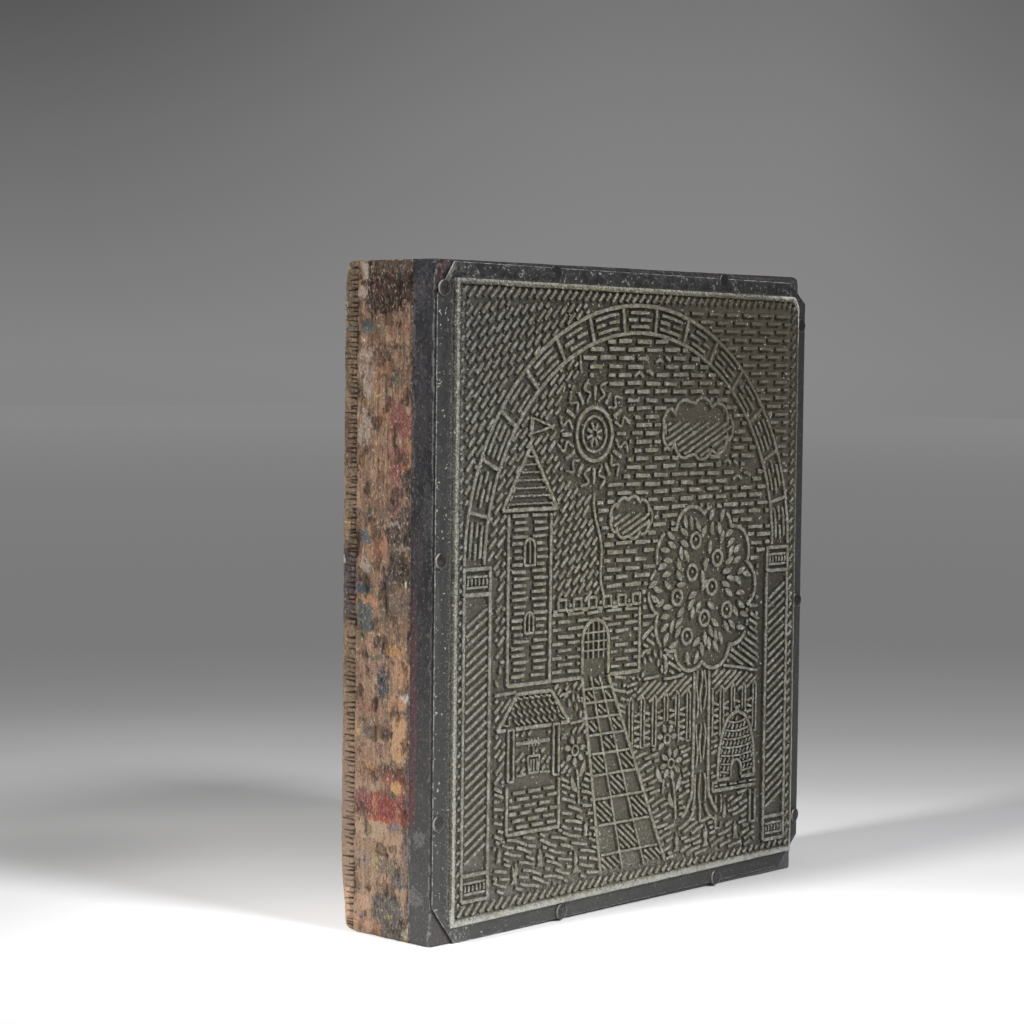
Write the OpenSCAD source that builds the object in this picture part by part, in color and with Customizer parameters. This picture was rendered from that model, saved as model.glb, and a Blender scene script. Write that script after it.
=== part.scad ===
// Mounted relief printing block: an etched metal plate nailed to a three-layer wooden mount.
// The block stands on its foot. The plate faces -Y, +X is the viewer's right, +Z is up.
// The origin is the middle of the wooden mount's foot.

/* [Mount] */
// Width of the wooden mount
mount_w = 100; // [80:1:180]
// Height of the wooden mount, foot to head
mount_h = 115; // [100:1:200]
// Height of the printing face above the press bed
type_height = 23.5; // [20:0.1:30]
// Thickness of the cross-grained back ply
back_ply_t = 3.3; // [1:0.1:5]
// Thickness of the cross-grained front ply
front_ply_t = 5.15; // [2:0.05:7]

/* [Plate] */
// Thickness of the plate, back to printing face
plate_t = 1.75; // [1.4:0.05:2.5]
// Thickness of the nailing flange
flange_t = 0.9; // [0.6:0.05:1.1]
// Depth of the etched ground below the printing face
etch_depth = 0.45; // [0.2:0.05:0.6]
// Thickness left at the flange's outer edge
edge_t = 0.5; // [0.2:0.05:0.5]
// Width of the bevel along the flange's outer edge
bevel_w = 1; // [0.5:0.1:1.5]
// How far the plate overhangs the mount's left side
over_left = 0.1; // [0:0.05:1]
// How far the plate overhangs the mount's right side
over_right = 1.3; // [0:0.05:2]
// Gap from the mount's head to the plate's edge, at its left end
head_gap_left = 0.3; // [0:0.05:2]
// Gap from the mount's head to the plate's edge, at its right end
head_gap_right = 1.2; // [0:0.05:2]
// Gap from the mount's foot to the plate's edge, at its left end
foot_gap_left = 0.1; // [0:0.05:2]
// Gap from the mount's foot to the plate's edge, at its right end
foot_gap_right = 1.05; // [0:0.05:2]

/* [Cropped corners] */
// Width of the crop at the head, left
crop_head_left_w = 4; // [2:0.1:8]
// Height of the crop at the head, left
crop_head_left_h = 5.7; // [2:0.1:8]
// Width of the crop at the head, right
crop_head_right_w = 5; // [2:0.1:8]
// Height of the crop at the head, right
crop_head_right_h = 3.9; // [2:0.1:8]
// Width of the crop at the foot, left
crop_foot_left_w = 5.3; // [2:0.1:8]
// Height of the crop at the foot, left
crop_foot_left_h = 6.8; // [2:0.1:8]
// Width of the crop at the foot, right
crop_foot_right_w = 5.6; // [2:0.1:8]
// Height of the crop at the foot, right
crop_foot_right_h = 5.6; // [2:0.1:8]

/* [Picture] */
// Flange beside the picture, left
margin_left = 3.6; // [3:0.1:8]
// Flange beside the picture, right
margin_right = 3.55; // [3:0.05:8]
// Flange above the picture
margin_head = 2.8; // [2.5:0.1:8]
// Flange below the picture
margin_foot = 3; // [2.5:0.1:8]
// Width of the rim line at the sides
rim_side = 0.55; // [0.3:0.05:2]
// Width of the rim line at the head
rim_head = 0.85; // [0.3:0.05:2]
// Width of the rim line at the foot
rim_foot = 1.2; // [0.3:0.05:2]
// Width of the picture's main lines
line_w = 0.6; // [0.3:0.05:1]
// Clear ground between the rim and the picture's lines
ground_gap = 1.5; // [1:0.1:3]
// Width of the striped pillars
pillar_w = 7; // [6:0.1:14]
// Depth of the arch's ring of stones
arch_ring = 5.5; // [3:0.1:8]
// Number of stones in the arch
arch_stones = 15; // [7:2:25]
// Height of the pillars' bases and capitals
cap_h = 5; // [3:0.1:8]
// Upright pitch of the pillars' stripes
stripe_pitch = 3.2; // [2:0.1:6]
// Rise of each stripe across its pillar
stripe_rise = 3.2; // [1:0.1:6]
// Length of a brick dash
dash_l = 3; // [1.5:0.1:5]
// Gap between the brick dashes of one course
dash_gap = 0.9; // [0.5:0.1:2]
// Upright pitch of the brick courses
course_pitch = 2.4; // [1.8:0.1:4]

/* [Scene] */
// Radius of the sun
sun_r = 5; // [2:0.1:8]
// Number of the sun's rays
sun_rays = 12; // [6:1:24]
// Length of a ray
ray_l = 2.5; // [1:0.1:5]
// Gap between the sun and its rays
ray_gap = 1; // [0.5:0.1:3]
// Distance of the sun's centre from the left pillar
sun_in = 26; // [15:0.5:40]
// Height of the sun's centre above the arch's spring
sun_up = 22; // [10:0.5:25]
// Width of the tower
tower_w = 11; // [8:0.5:16]
// Height of the tower's wall
tower_h = 30; // [20:0.5:34]
// Height of the tower's roof
roof_h = 11; // [5:0.5:14]
// Overhang of the roof's eaves
eaves = 1.5; // [0.5:0.1:3]
// Distance of the tower from the left pillar
tower_in = 4; // [3:0.5:8]
// Height of the castle's foot above the picture's foot
castle_up = 36; // [30:0.5:40]
// Height of the castle's curtain wall
wall_h = 12; // [10:0.5:16]
// Length of the curtain wall
wall_l = 24; // [18:0.5:26]
// Width of a merlon
merlon = 2; // [1.5:0.1:3]
// Width of the gate
gate_w = 7; // [5:0.5:8]
// Width of the path at the picture's foot
path_w = 18; // [10:0.5:24]
// Radius of the tree's crown
crown_r = 16; // [12:0.5:18]
// Radius of a clump of leaves
clump_r = 5; // [4:0.1:6]
// Number of clumps around the crown
clumps = 10; // [8:1:14]
// Width of the trunk
trunk_w = 5; // [3:0.1:8]
// Height of the trunk below the crown
trunk_h = 26; // [15:0.5:30]
// Distance of the trunk from the right pillar
tree_in = 19; // [19:0.5:24]
// Height of the trunk's foot above the picture's foot
tree_up = 8; // [2:0.5:12]
// Radius of a fruit
fruit_r = 1.7; // [1:0.1:2.5]
// Number of fruits
fruits = 8; // [1:1:9]
// How fast the fruits spread from the crown's middle
fruit_spread = 3.6; // [3:0.1:4]
// Width of the well
well_w = 14; // [10:0.5:18]
// Height of the well's wall
well_h = 9; // [6:0.5:12]
// Distance of the well from the left pillar
well_in = 4; // [2:0.5:6]
// Height of the well's foot above the picture's foot
well_up = 10; // [5:0.5:14]

/* [Brads] */
// Diameter of a brad's head
brad_head_d = 2.75; // [2:0.05:4]
// Thickness of a brad's head
brad_head_t = 0.4; // [0.2:0.05:0.6]
// Diameter of a brad's shank
brad_d = 1; // [0.8:0.05:1.2]
// Length of a brad under its head, point included
brad_l = 12; // [8:0.5:15]
// Length of a brad's point
brad_point = 1.5; // [0.5:0.1:3]
// Widening of the plate's punched holes over the shank
punch_clearance = 0.2; // [0.1:0.05:0.6]
// Distance of the left brads from the mount's left side
brad_in_left = 0.85; // [0.8:0.05:3]
// Distance of the right brads from the mount's right side
brad_in_right = 0.7; // [0.65:0.05:3]
// Distance of the upper brads from the mount's head
brad_in_head = 1.5; // [1.5:0.1:3]
// Distance of the lower brads from the mount's foot
brad_in_foot = 1.7; // [1.7:0.1:3]
// Distance of the left side's upper brad from the mount's head
brad_left_high = 4.7; // [4:0.1:20]
// Height of the left side's middle brad above the mount's foot
brad_left_mid = 65; // [40:0.5:75]
// Height of the left side's lower brad above the mount's foot
brad_left_low = 21; // [10:0.5:35]
// Distance of the right side's upper brad from the mount's head
brad_right_high = 9.4; // [6:0.1:20]
// Height of the right side's middle brad above the mount's foot
brad_right_mid = 52.6; // [40:0.1:75]
// Height of the right side's lower brad above the mount's foot
brad_right_low = 10.6; // [8:0.1:30]
// Distance of the foot's left brad from the mount's left side
brad_foot_left = 31.9; // [15:0.1:40]
// Distance of the foot's right brad from the mount's right side
brad_foot_right = 24.4; // [15:0.1:38]
// Distance of the head's left brad from the mount's left side
brad_head_left = 28.8; // [15:0.1:40]
// Distance of the head's right brad from the mount's right side
brad_head_right = 24.6; // [15:0.1:38]

/* [Hidden] */
$fn = 48;

bed_y = type_height / 2;
front_y = -type_height / 2 + plate_t;
core_t = type_height - plate_t - front_ply_t - back_ply_t;
flange_y = front_y - flange_t;
ground_t = plate_t - etch_depth;
line_root = 0.2;
cut_room = 1;

// Plate outline with its cropped corners, anticlockwise from the foot's left end
plate_left = -mount_w / 2 - over_left;
plate_right = mount_w / 2 + over_right;
foot_l = foot_gap_left;
foot_r = foot_gap_right;
head_l = mount_h - head_gap_left;
head_r = mount_h - head_gap_right;
plate_outline = [
    [plate_left, foot_l + crop_foot_left_h],
    [plate_left + crop_foot_left_w, foot_l],
    [plate_right - crop_foot_right_w, foot_r],
    [plate_right, foot_r + crop_foot_right_h],
    [plate_right, head_r - crop_head_right_h],
    [plate_right - crop_head_right_w, head_r],
    [plate_left + crop_head_left_w, head_l],
    [plate_left, head_l - crop_head_left_h]
];

// Picture outline: the rim's outer edge
pic_left = plate_left + margin_left;
pic_right = plate_right - margin_right;
pic_outline = [
    [pic_left, foot_l + margin_foot],
    [pic_right, foot_r + margin_foot],
    [pic_right, head_r - margin_head],
    [pic_left, head_l - margin_head]
];
rim_inside = [
    pic_outline[0] + [rim_side, rim_foot],
    pic_outline[1] + [-rim_side, rim_foot],
    pic_outline[2] + [-rim_side, -rim_head],
    pic_outline[3] + [rim_side, -rim_head]
];

// The upright rectangle that the picture's lines keep to
art_left = rim_inside[0].x + ground_gap;
art_right = rim_inside[1].x - ground_gap;
art_foot = max(rim_inside[0].y, rim_inside[1].y) + ground_gap;
art_head = min(rim_inside[2].y, rim_inside[3].y) - ground_gap;
art_w = art_right - art_left;
mid_x = (art_left + art_right) / 2;

// The arch stands on the pillars and touches the picture's head
arch_r = art_w / 2;
arch_in = arch_r - arch_ring;
spring_z = art_head - arch_r;
bay_left = art_left + pillar_w;
bay_right = art_right - pillar_w;
castle_z = art_foot + castle_up;
fruit_turn = 137.5;

// Brad places on the plate, as [x, z]
brad_x_left = -mount_w / 2 + brad_in_left;
brad_x_right = mount_w / 2 - brad_in_right;
brad_z_head = mount_h - brad_in_head;
brad_places = [
    [brad_x_left, mount_h - brad_left_high],
    [brad_x_left, brad_left_mid],
    [brad_x_left, brad_left_low],
    [brad_x_right, mount_h - brad_right_high],
    [brad_x_right, brad_right_mid],
    [brad_x_right, brad_right_low],
    [-mount_w / 2 + brad_foot_left, brad_in_foot],
    [mount_w / 2 - brad_foot_right, brad_in_foot],
    [-mount_w / 2 + brad_head_left, brad_z_head],
    [mount_w / 2 - brad_head_right, brad_z_head]
];

// Draws flat shapes, given in X and Z, on the plane at depth y and lets them rise towards the viewer
module facing(y) {
    translate([0, y, 0]) rotate([90, 0, 0]) children();
}

// A straight line from p to q
module bar(p, q, w = line_w) {
    d = q - p;
    translate(p) rotate(atan2(d.y, d.x)) translate([-w / 2, -w / 2]) square([norm(d) + w, w]);
}

// A run of straight lines through a list of points
module path_line(points, w = line_w) {
    for (i = [0 : len(points) - 2]) bar(points[i], points[i + 1], w);
}

// A ring of outer radius r about c
module ring(c, r, w = line_w) {
    translate(c) difference() {
        circle(r);
        circle(r - w);
    }
}

// A point at radius r and angle a about c
function polar(c, r, a) = c + r * [cos(a), sin(a)];

// The picture's rim
module rim() {
    difference() {
        polygon(pic_outline);
        polygon(rim_inside);
    }
}

// A striped pillar with a base and a capital, its left side at x
module pillar(x) {
    shaft_low = art_foot + cap_h;
    shaft_high = spring_z - cap_h;
    for (z = [art_foot, shaft_high]) {
        translate([x, z]) difference() {
            square([pillar_w, cap_h]);
            translate([line_w, line_w]) square([pillar_w - 2 * line_w, cap_h - 2 * line_w]);
        }
    }
    for (side = [x + line_w / 2, x + pillar_w - line_w / 2]) bar([side, shaft_low], [side, shaft_high]);
    for (z = [shaft_low + stripe_pitch : stripe_pitch : shaft_high - stripe_rise]) {
        bar([x + line_w, z], [x + pillar_w - line_w, z + stripe_rise]);
    }
}

// The arch's stones, between its outer and inner lines
module arch() {
    centre = [mid_x, spring_z];
    intersection() {
        union() {
            ring(centre, arch_r);
            ring(centre, arch_in + line_w);
        }
        translate([art_left, spring_z]) square([art_w, arch_r]);
    }
    for (i = [1 : arch_stones - 1]) {
        a = 180 * i / arch_stones;
        bar(polar(centre, arch_in, a), polar(centre, arch_r - line_w, a));
    }
}

// Brick dashes between the arch and the picture's upper corners
module spandrels() {
    step = dash_l + dash_gap;
    for (i = [1 : floor(arch_r / course_pitch)]) {
        z = art_head - i * course_pitch;
        reach = sqrt(arch_r * arch_r - (z - spring_z) * (z - spring_z));
        room = arch_r - reach - dash_gap;
        shift = (i % 2) * step / 2;
        for (j = [0 : floor(room / step)]) {
            u = shift + j * step;
            if (u + dash_l < room) for (side = [-1, 1]) {
                translate([mid_x + side * (arch_r - u - dash_l / 2), z]) square([dash_l, line_w], center = true);
            }
        }
    }
}

// The sun with straight rays
module sun() {
    centre = [bay_left + sun_in, spring_z + sun_up];
    ring(centre, sun_r);
    for (i = [0 : sun_rays - 1]) {
        a = 360 * i / sun_rays;
        bar(polar(centre, sun_r + ray_gap, a), polar(centre, sun_r + ray_gap + ray_l, a));
    }
}

// A tower with a pointed roof, and a wall with merlons and a gate to its right
module castle() {
    left = bay_left + tower_in;
    right = left + tower_w;
    top = castle_z + tower_h;
    path_line([[left, castle_z], [left, top], [right, top], [right, castle_z]]);
    path_line([[left - eaves, top], [left + tower_w / 2, top + roof_h], [right + eaves, top]]);
    for (i = [1 : floor(tower_h / course_pitch) - 1]) {
        w = (tower_w - 3 * dash_gap) / 2;
        for (j = [0, 1]) translate([left + dash_gap + j * (w + dash_gap), castle_z + i * course_pitch]) {
            square([w - (i % 2) * dash_gap, line_w]);
        }
    }
    wall_top = castle_z + wall_h;
    wall_right = right + wall_l;
    bar([right, wall_top], [wall_right, wall_top]);
    for (x = [right + merlon : 2 * merlon : wall_right - merlon]) {
        path_line([[x, wall_top], [x, wall_top + merlon], [x + merlon, wall_top + merlon], [x + merlon, wall_top]]);
    }
    gate = [right + wall_l / 2, castle_z];
    gate_spring = gate + [0, wall_h - gate_w / 2 - merlon];
    for (side = [-1, 1]) bar(gate + [side * gate_w / 2, 0], gate_spring + [side * gate_w / 2, 0]);
    intersection() {
        ring(gate_spring, gate_w / 2 + line_w / 2);
        translate(gate_spring - [gate_w, 0]) square([2 * gate_w, gate_w]);
    }
    bar([left, castle_z], [gate.x - gate_w / 2, castle_z]);
    bar([gate.x + gate_w / 2, castle_z], [wall_right, castle_z]);
    bar([wall_right, castle_z], [wall_right, wall_top]);
    for (side = [-1, 1]) {
        foot = [mid_x + side * path_w / 2, art_foot];
        path_line([gate + [side * gate_w / 2, 0], foot]);
    }
}

// Discs of radius r around the tree's crown, and one in its middle
module clump_discs(centre, r) {
    for (i = [0 : clumps - 1]) translate(polar(centre, crown_r - clump_r, 360 * i / clumps)) circle(r);
    translate(centre) circle(crown_r - clump_r);
}

// A fruit tree with a lobed crown
module tree() {
    foot = [bay_right - tree_in, art_foot + tree_up];
    centre = foot + [0, trunk_h + crown_r];
    difference() {
        clump_discs(centre, clump_r);
        clump_discs(centre, clump_r - line_w);
    }
    for (side = [-1, 1]) {
        path_line([
            foot + [side * trunk_w, 0],
            foot + [side * trunk_w / 2, trunk_w],
            foot + [side * trunk_w / 2, trunk_h + line_w]
        ]);
    }
    for (i = [0 : fruits - 1]) ring(polar(centre, fruit_spread * sqrt(i + 0.5), i * fruit_turn), fruit_r);
}

// A stone well beside the path
module well() {
    corner = [bay_left + well_in, art_foot + well_up];
    path_line([corner, corner + [0, well_h], corner + [well_w, well_h], corner + [well_w, 0], corner]);
    step = dash_l + dash_gap;
    for (i = [1 : floor(well_h / course_pitch) - 1]) {
        for (j = [0 : floor((well_w - 2 * dash_gap) / step) - 1]) {
            shift = dash_gap + (i % 2) * step / 2;
            if (shift + j * step + dash_l < well_w - dash_gap) {
                translate(corner + [shift + j * step, i * course_pitch]) square([dash_l, line_w]);
            }
        }
    }
}

module picture() {
    rim();
    pillar(art_left);
    pillar(bay_right);
    arch();
    spandrels();
    sun();
    castle();
    tree();
    well();
}

// One brad's shank and point, from its head's underside back into the mount
module shank(place, d) {
    translate([place.x, flange_y, place.y]) rotate([-90, 0, 0]) {
        cylinder(h = brad_l - brad_point, d = d);
        translate([0, 0, brad_l - brad_point]) cylinder(h = brad_point, d1 = d, d2 = 0);
    }
}

module shanks() {
    for (place = brad_places) shank(place, brad_d);
}

// Cuts the bevel along the plate's edge from p to q, which runs anticlockwise
module edge_bevel(p, q) {
    d = q - p;
    slope = atan2(flange_t - edge_t, bevel_w);
    facing(front_y - edge_t) translate(p) rotate(atan2(d.y, d.x)) {
        rotate([slope, 0, 0]) translate([-bevel_w, -bevel_w, 0]) {
            cube([norm(d) + 2 * bevel_w, bevel_w + bevel_w / cos(slope) + cut_room / 2, cut_room]);
        }
    }
}

// The nailing flange, bevelled along each of its eight edges
module flange() {
    difference() {
        facing(front_y) linear_extrude(flange_t) polygon(plate_outline);
        for (i = [0 : len(plate_outline) - 1]) {
            edge_bevel(plate_outline[i], plate_outline[(i + 1) % len(plate_outline)]);
        }
    }
}

module relief_plate() {
    color("dimgray") difference() {
        union() {
            flange();
            facing(front_y) linear_extrude(ground_t) polygon(pic_outline);
            facing(front_y - ground_t + line_root) linear_extrude(etch_depth + line_root) picture();
        }
        for (place = brad_places) shank(place, brad_d + punch_clearance);
    }
}

// A layer of the mount from depth y, t thick
module ply(y, t) {
    translate([-mount_w / 2, y, 0]) cube([mount_w, t, mount_h]);
}

module front_ply() {
    color("#2a2624") difference() {
        ply(front_y, front_ply_t);
        shanks();
    }
}

module core() {
    color("#8a6446") difference() {
        ply(front_y + front_ply_t, core_t);
        shanks();
    }
}

module back_ply() {
    color("#7a5c42") ply(bed_y - back_ply_t, back_ply_t);
}

module brads() {
    color("#4a4744") {
        for (place = brad_places) {
            translate([place.x, flange_y, place.y]) rotate([90, 0, 0]) cylinder(h = brad_head_t, d = brad_head_d);
            shank(place, brad_d);
        }
    }
}

relief_plate();
front_ply();
core();
back_ply();
brads();
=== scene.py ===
import math
import random
from math import cos, degrees, pi, radians, sin, sqrt

import bpy
import numpy as np
from mathutils import Matrix, Vector, noise


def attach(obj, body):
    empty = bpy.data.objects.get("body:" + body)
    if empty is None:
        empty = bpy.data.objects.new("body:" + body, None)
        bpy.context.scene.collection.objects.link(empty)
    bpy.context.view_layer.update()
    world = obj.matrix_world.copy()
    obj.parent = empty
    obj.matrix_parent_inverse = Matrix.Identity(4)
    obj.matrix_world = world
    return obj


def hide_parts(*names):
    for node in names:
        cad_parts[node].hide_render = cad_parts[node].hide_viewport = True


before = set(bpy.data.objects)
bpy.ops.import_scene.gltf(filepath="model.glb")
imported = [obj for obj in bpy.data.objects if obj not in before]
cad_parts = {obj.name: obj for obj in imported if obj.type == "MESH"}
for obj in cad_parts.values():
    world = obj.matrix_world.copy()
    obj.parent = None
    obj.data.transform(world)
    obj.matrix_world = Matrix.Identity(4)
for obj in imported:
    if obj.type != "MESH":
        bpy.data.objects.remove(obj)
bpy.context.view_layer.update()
scene = bpy.context.scene
millimetre = 0.001
print("frame loaded")


# camera, light and backdrop

cameraSettings = {
    "place": (-356.55, -312.16, 97.94),  # mm, row frame
    "yaw": 47.148,  # degrees, as the next two
    "pitch": 3.284,
    "roll": 0.622,
    "lens": 91.48,  # focal length, mm
    "sensor": 36,  # mm wide
    "clip": (0.01, 50),  # metres
}

lightSettings = {
    "world": 0.2,
    "aim": (0, 0, 0.05),  # metres
    "lamps": [
        # name, place in mm, size in mm, power in W, colour
        ("leftSoftbox", (-930, 74, 700), 170, 7.6, (1.0, 0.985, 0.965)),
        ("rightSoftbox", (72, -930, 812), 250, 9.7, (0.985, 0.99, 1.0)),
    ],
}

backdropSettings = {
    "size": 4.0,  # half the floor, in metres
    "paper": (0.92, 0.925, 0.93),
    "centre": (-39.6, -36.7),  # mm, where the painted pool of light on the floor is brightest
    "aslant": 0.4,  # how much less the fade minds a step sideways
    "leftFall": 0.7,  # how much sooner the painted light fades on the left side
    "lightAndShadePatches": [(-36, 33, 64, 1.3), (-42, 104, 42, 0.8), (80, 212, 128, 1.18)],  # painted light and shade on the floor: place and reach in mm, gain
    "paperEdge": (0.1, 0.36),  # metres over which the paper gives way to grey
    "edgeTone": 0.2,
    # metres from the centre, tone that the camera sees: a painted pool of light that fades with distance
    "fade": [
        (0.0, 1.5), (0.03, 1.42), (0.046, 1.28), (0.06, 1.12), (0.073, 0.99), (0.086, 0.925),
        (0.103, 0.89), (0.12, 0.84), (0.137, 0.78), (0.156, 0.73), (0.176, 0.62), (0.198, 0.54),
        (0.221, 0.5), (0.274, 0.4), (0.335, 0.34), (0.409, 0.27), (0.5, 0.24),
    ],
    "farFade": [
        (0.25, 0.37), (0.274, 0.335), (0.335, 0.262), (0.409, 0.218),
        (0.5, 0.195), (0.8, 0.195), (3.6, 0.24),
    ],
    "glow": (0.25, 0.4),  # metres over which the lit floor gives way to an even grey
    # height over the horizon, tone
    "wall": [(-0.03, 0.24), (0.0, 0.246), (0.043, 0.232), (0.089, 0.216), (0.135, 0.184), (0.4, 0.12)],
    # how much a side darkens, how much more with height, from and to where beside the view
    "dims": [(0.05, 3.1, 0.05, -0.2), (0.07, 1.2, 0.1, 0.2)],
}


def linkNew(name, data):
    thing = bpy.data.objects.new(name, data)
    scene.collection.objects.link(thing)
    return thing


def placeCamera(s):
    yaw, pitch, roll = (radians(s[k]) for k in ("yaw", "pitch", "roll"))
    ahead = Vector((sin(yaw) * cos(pitch), cos(yaw) * cos(pitch), -sin(pitch)))
    right = Vector((cos(yaw), -sin(yaw), 0))
    up = right.cross(ahead)
    right, up = cos(roll) * right + sin(roll) * up, cos(roll) * up - sin(roll) * right
    lens = bpy.data.cameras.new("camera")
    lens.sensor_width = s["sensor"]
    lens.sensor_fit = "HORIZONTAL"
    lens.lens = s["lens"]
    lens.clip_start, lens.clip_end = s["clip"]
    camera = linkNew("camera", lens)
    turn = Matrix((right, up, -ahead)).transposed().to_4x4()
    camera.matrix_world = Matrix.Translation(Vector(s["place"]) * millimetre) @ turn
    scene.camera = camera


def placeLamps(s):
    for name, place, size, power, colour in s["lamps"]:
        lamp = bpy.data.lights.new(name, "AREA")
        lamp.shape = "DISK"
        lamp.size = size * millimetre
        lamp.energy = power
        lamp.color = colour
        holder = linkNew(name, lamp)
        holder.location = Vector(place) * millimetre
        holder.rotation_euler = (Vector(s["aim"]) - holder.location).to_track_quat("-Z", "Y").to_euler()


placeCamera(cameraSettings)
placeLamps(lightSettings)
print("camera and lamps placed")


class Nodes:  # a node tree, with short calls for its nodes
    def __init__(self, tree):
        self.tree = tree

    def feed(self, socket, value):
        if hasattr(value, "is_output"):
            self.tree.links.new(value, socket)
        else:
            socket.default_value = (*value, 1.0) if socket.type == "RGBA" and len(value) == 3 else value

    def add(self, kind, inputs=(), **settings):
        node = self.tree.nodes.new(kind)
        for key, value in settings.items():
            setattr(node, key, value)
        for label, value in dict(inputs).items():
            self.feed(node.inputs[label], value)
        return node.outputs

    def math(self, kind, a, b=0.0):
        return self.add("ShaderNodeMath", {0: a, 1: b}, operation=kind)[0]

    def times(self, first, *others):
        for other in others:
            first = self.math("MULTIPLY", first, other)
        return first


class Finish(Nodes):  # the shader of a material or a world
    def __init__(self, owner):
        owner.use_nodes = True
        super().__init__(owner.node_tree)
        self.owner = owner
        self.coordinates = self.add("ShaderNodeTexCoord")
        self.place = self.coordinates["Object"]

    def stretched(self, scale, shift=(0, 0, 0)):
        return self.add("ShaderNodeMapping", {"Vector": self.place, "Scale": scale, "Location": shift})[0]

    def noise(self, perMillimetre, detail=3, rough=0.55, place=None):
        inputs = {"Scale": perMillimetre * 1000, "Detail": detail, "Roughness": rough}
        return self.add("ShaderNodeTexNoise", {"Vector": place or self.place, **inputs})["Fac"]

    def span(self, value, low, high, to=(0, 1), smooth=True):  # follows a value from low to high
        inputs = dict(zip(("Value", "From Min", "From Max", "To Min", "To Max"), (value, low, high, *to)))
        kind = "SMOOTHSTEP" if smooth else "LINEAR"
        return self.add("ShaderNodeMapRange", inputs, interpolation_type=kind)["Result"]

    def mix(self, factor, a, b, kind="MIX"):
        return self.add("ShaderNodeMix", {"Factor": factor, 6: a, 7: b}, data_type="RGBA", blend_type=kind)[2]

    def between(self, source, low, high, dark, light):
        return self.mix(self.span(source, low, high), tone(*dark), tone(*light))

    def coat(self, under, rgb, *shares):  # a tone, as thick as its shares' product
        return self.mix(self.times(*shares), under, tone(*rgb))

    def coats(self, under, rows):  # each tone follows a noise, from and to given levels, up to a share
        for source, low, high, share, rgb in rows:
            under = self.coat(under, rgb, self.span(source, low, high), share)
        return under

    def parts(self, vector):
        return self.add("ShaderNodeSeparateXYZ", {0: vector})

    def painted(self, name, output="Fac"):
        return self.add("ShaderNodeAttribute", attribute_name=name)[output]

    def bump(self, height, distance, strength, under=None):
        inputs = {"Distance": distance * millimetre, "Strength": strength, "Height": height}
        if under:
            inputs["Normal"] = under
        return self.add("ShaderNodeBump", inputs)["Normal"]

    def blend(self, output, factor, first, second):
        mixed = self.add("ShaderNodeMixShader", {0: factor, 1: first, 2: second})[0]
        self.feed(self.tree.nodes[output].inputs["Surface"], mixed)

    def finish(self, colour, roughness, metallic, specular, normal=None):
        inputs = {"Base Color": colour, "Roughness": roughness, "Metallic": metallic}
        inputs["Specular IOR Level"] = specular
        if normal:
            inputs["Normal"] = normal
        for label, value in inputs.items():
            self.feed(self.tree.nodes["Principled BSDF"].inputs[label], value)
        return self.owner


def tone(*levels):  # an sRGB tone, 0 to 255, as a linear colour
    shares = [level / 255 for level in levels]
    return tuple(share / 12.92 if share <= 0.04045 else ((share + 0.055) / 1.055) ** 2.4 for share in shares)


def fadeRamp(m, value, stops):  # grey tones along a distance
    low, reach = stops[0][0], stops[-1][0]
    ramp = m.add("ShaderNodeValToRGB", {0: m.span(value, low, reach, smooth=False)})[0]
    band = ramp.node.color_ramp
    band.elements.remove(band.elements[0])
    for k, (at, level) in enumerate(stops):
        element = band.elements[0] if k == 0 else band.elements.new((at - low) / (reach - low))
        element.position = (at - low) / (reach - low)
        element.color = (level, level, level * 1.01, 1)
    return ramp


def seen(m):  # 1 for what the camera, a gloss or a glass sees
    path = m.add("ShaderNodeLightPath")
    direct = m.math("MAXIMUM", path["Is Camera Ray"], path["Is Glossy Ray"])
    return m.math("MAXIMUM", direct, path["Is Transmission Ray"])


def beside(m, x, y):  # how far a place lies to the right of the camera's heading
    yaw = radians(cameraSettings["yaw"])
    return m.math("SUBTRACT", m.times(x, cos(yaw)), m.times(y, sin(yaw)))


def makeFloor(s):
    size, yaw = s["size"], radians(cameraSettings["yaw"])
    mesh = bpy.data.meshes.new("floor")
    corners = [(-size, -size, 0), (size, -size, 0), (size, size, 0), (-size, size, 0)]
    mesh.from_pydata(corners, [], [(0, 1, 2, 3)])
    floor = linkNew("floor", mesh)
    m = Finish(bpy.data.materials.new("paperFloor"))
    centre = (*(c * millimetre for c in s["centre"]), 0)
    x, y, _ = m.parts(m.add("ShaderNodeVectorMath", {0: m.place, 1: centre}, operation="SUBTRACT")["Vector"])
    back = m.math("ADD", m.times(x, sin(yaw)), m.times(y, cos(yaw)))
    side = m.times(beside(m, x, y), s["aslant"])
    away = m.math("SQRT", m.math("ADD", m.times(back, back), m.times(side, side)))
    away = m.math("ADD", away, m.times(m.math("MAXIMUM", m.times(side, -1), 0.0), s["leftFall"]))
    real = m.mix(m.span(away, *s["paperEdge"]), s["paper"], (s["edgeTone"],) * 3)
    # the camera sees painted light: a tone that fades away from the centre, lifted or darkened in patches
    shown = fadeRamp(m, away, s["fade"])
    for across, deep, reach, gain in s["lightAndShadePatches"]:
        spot = (across * millimetre, deep * millimetre, 0)
        near = m.add("ShaderNodeVectorMath", {0: m.place, 1: spot}, operation="DISTANCE")["Value"]
        shown = m.mix(1.0, shown, m.span(near, reach * millimetre, 0, (1, gain)), "MULTIPLY")
    mesh.materials.append(m.finish(m.mix(seen(m), real, shown), 0.9, 0.0, 0.0))
    far = m.add("ShaderNodeEmission", {"Color": fadeRamp(m, away, s["farFade"])})[0]
    surface = m.tree.nodes["Principled BSDF"].outputs[0]
    m.blend("Material Output", m.times(m.span(away, *s["glow"]), seen(m)), surface, far)


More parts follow.
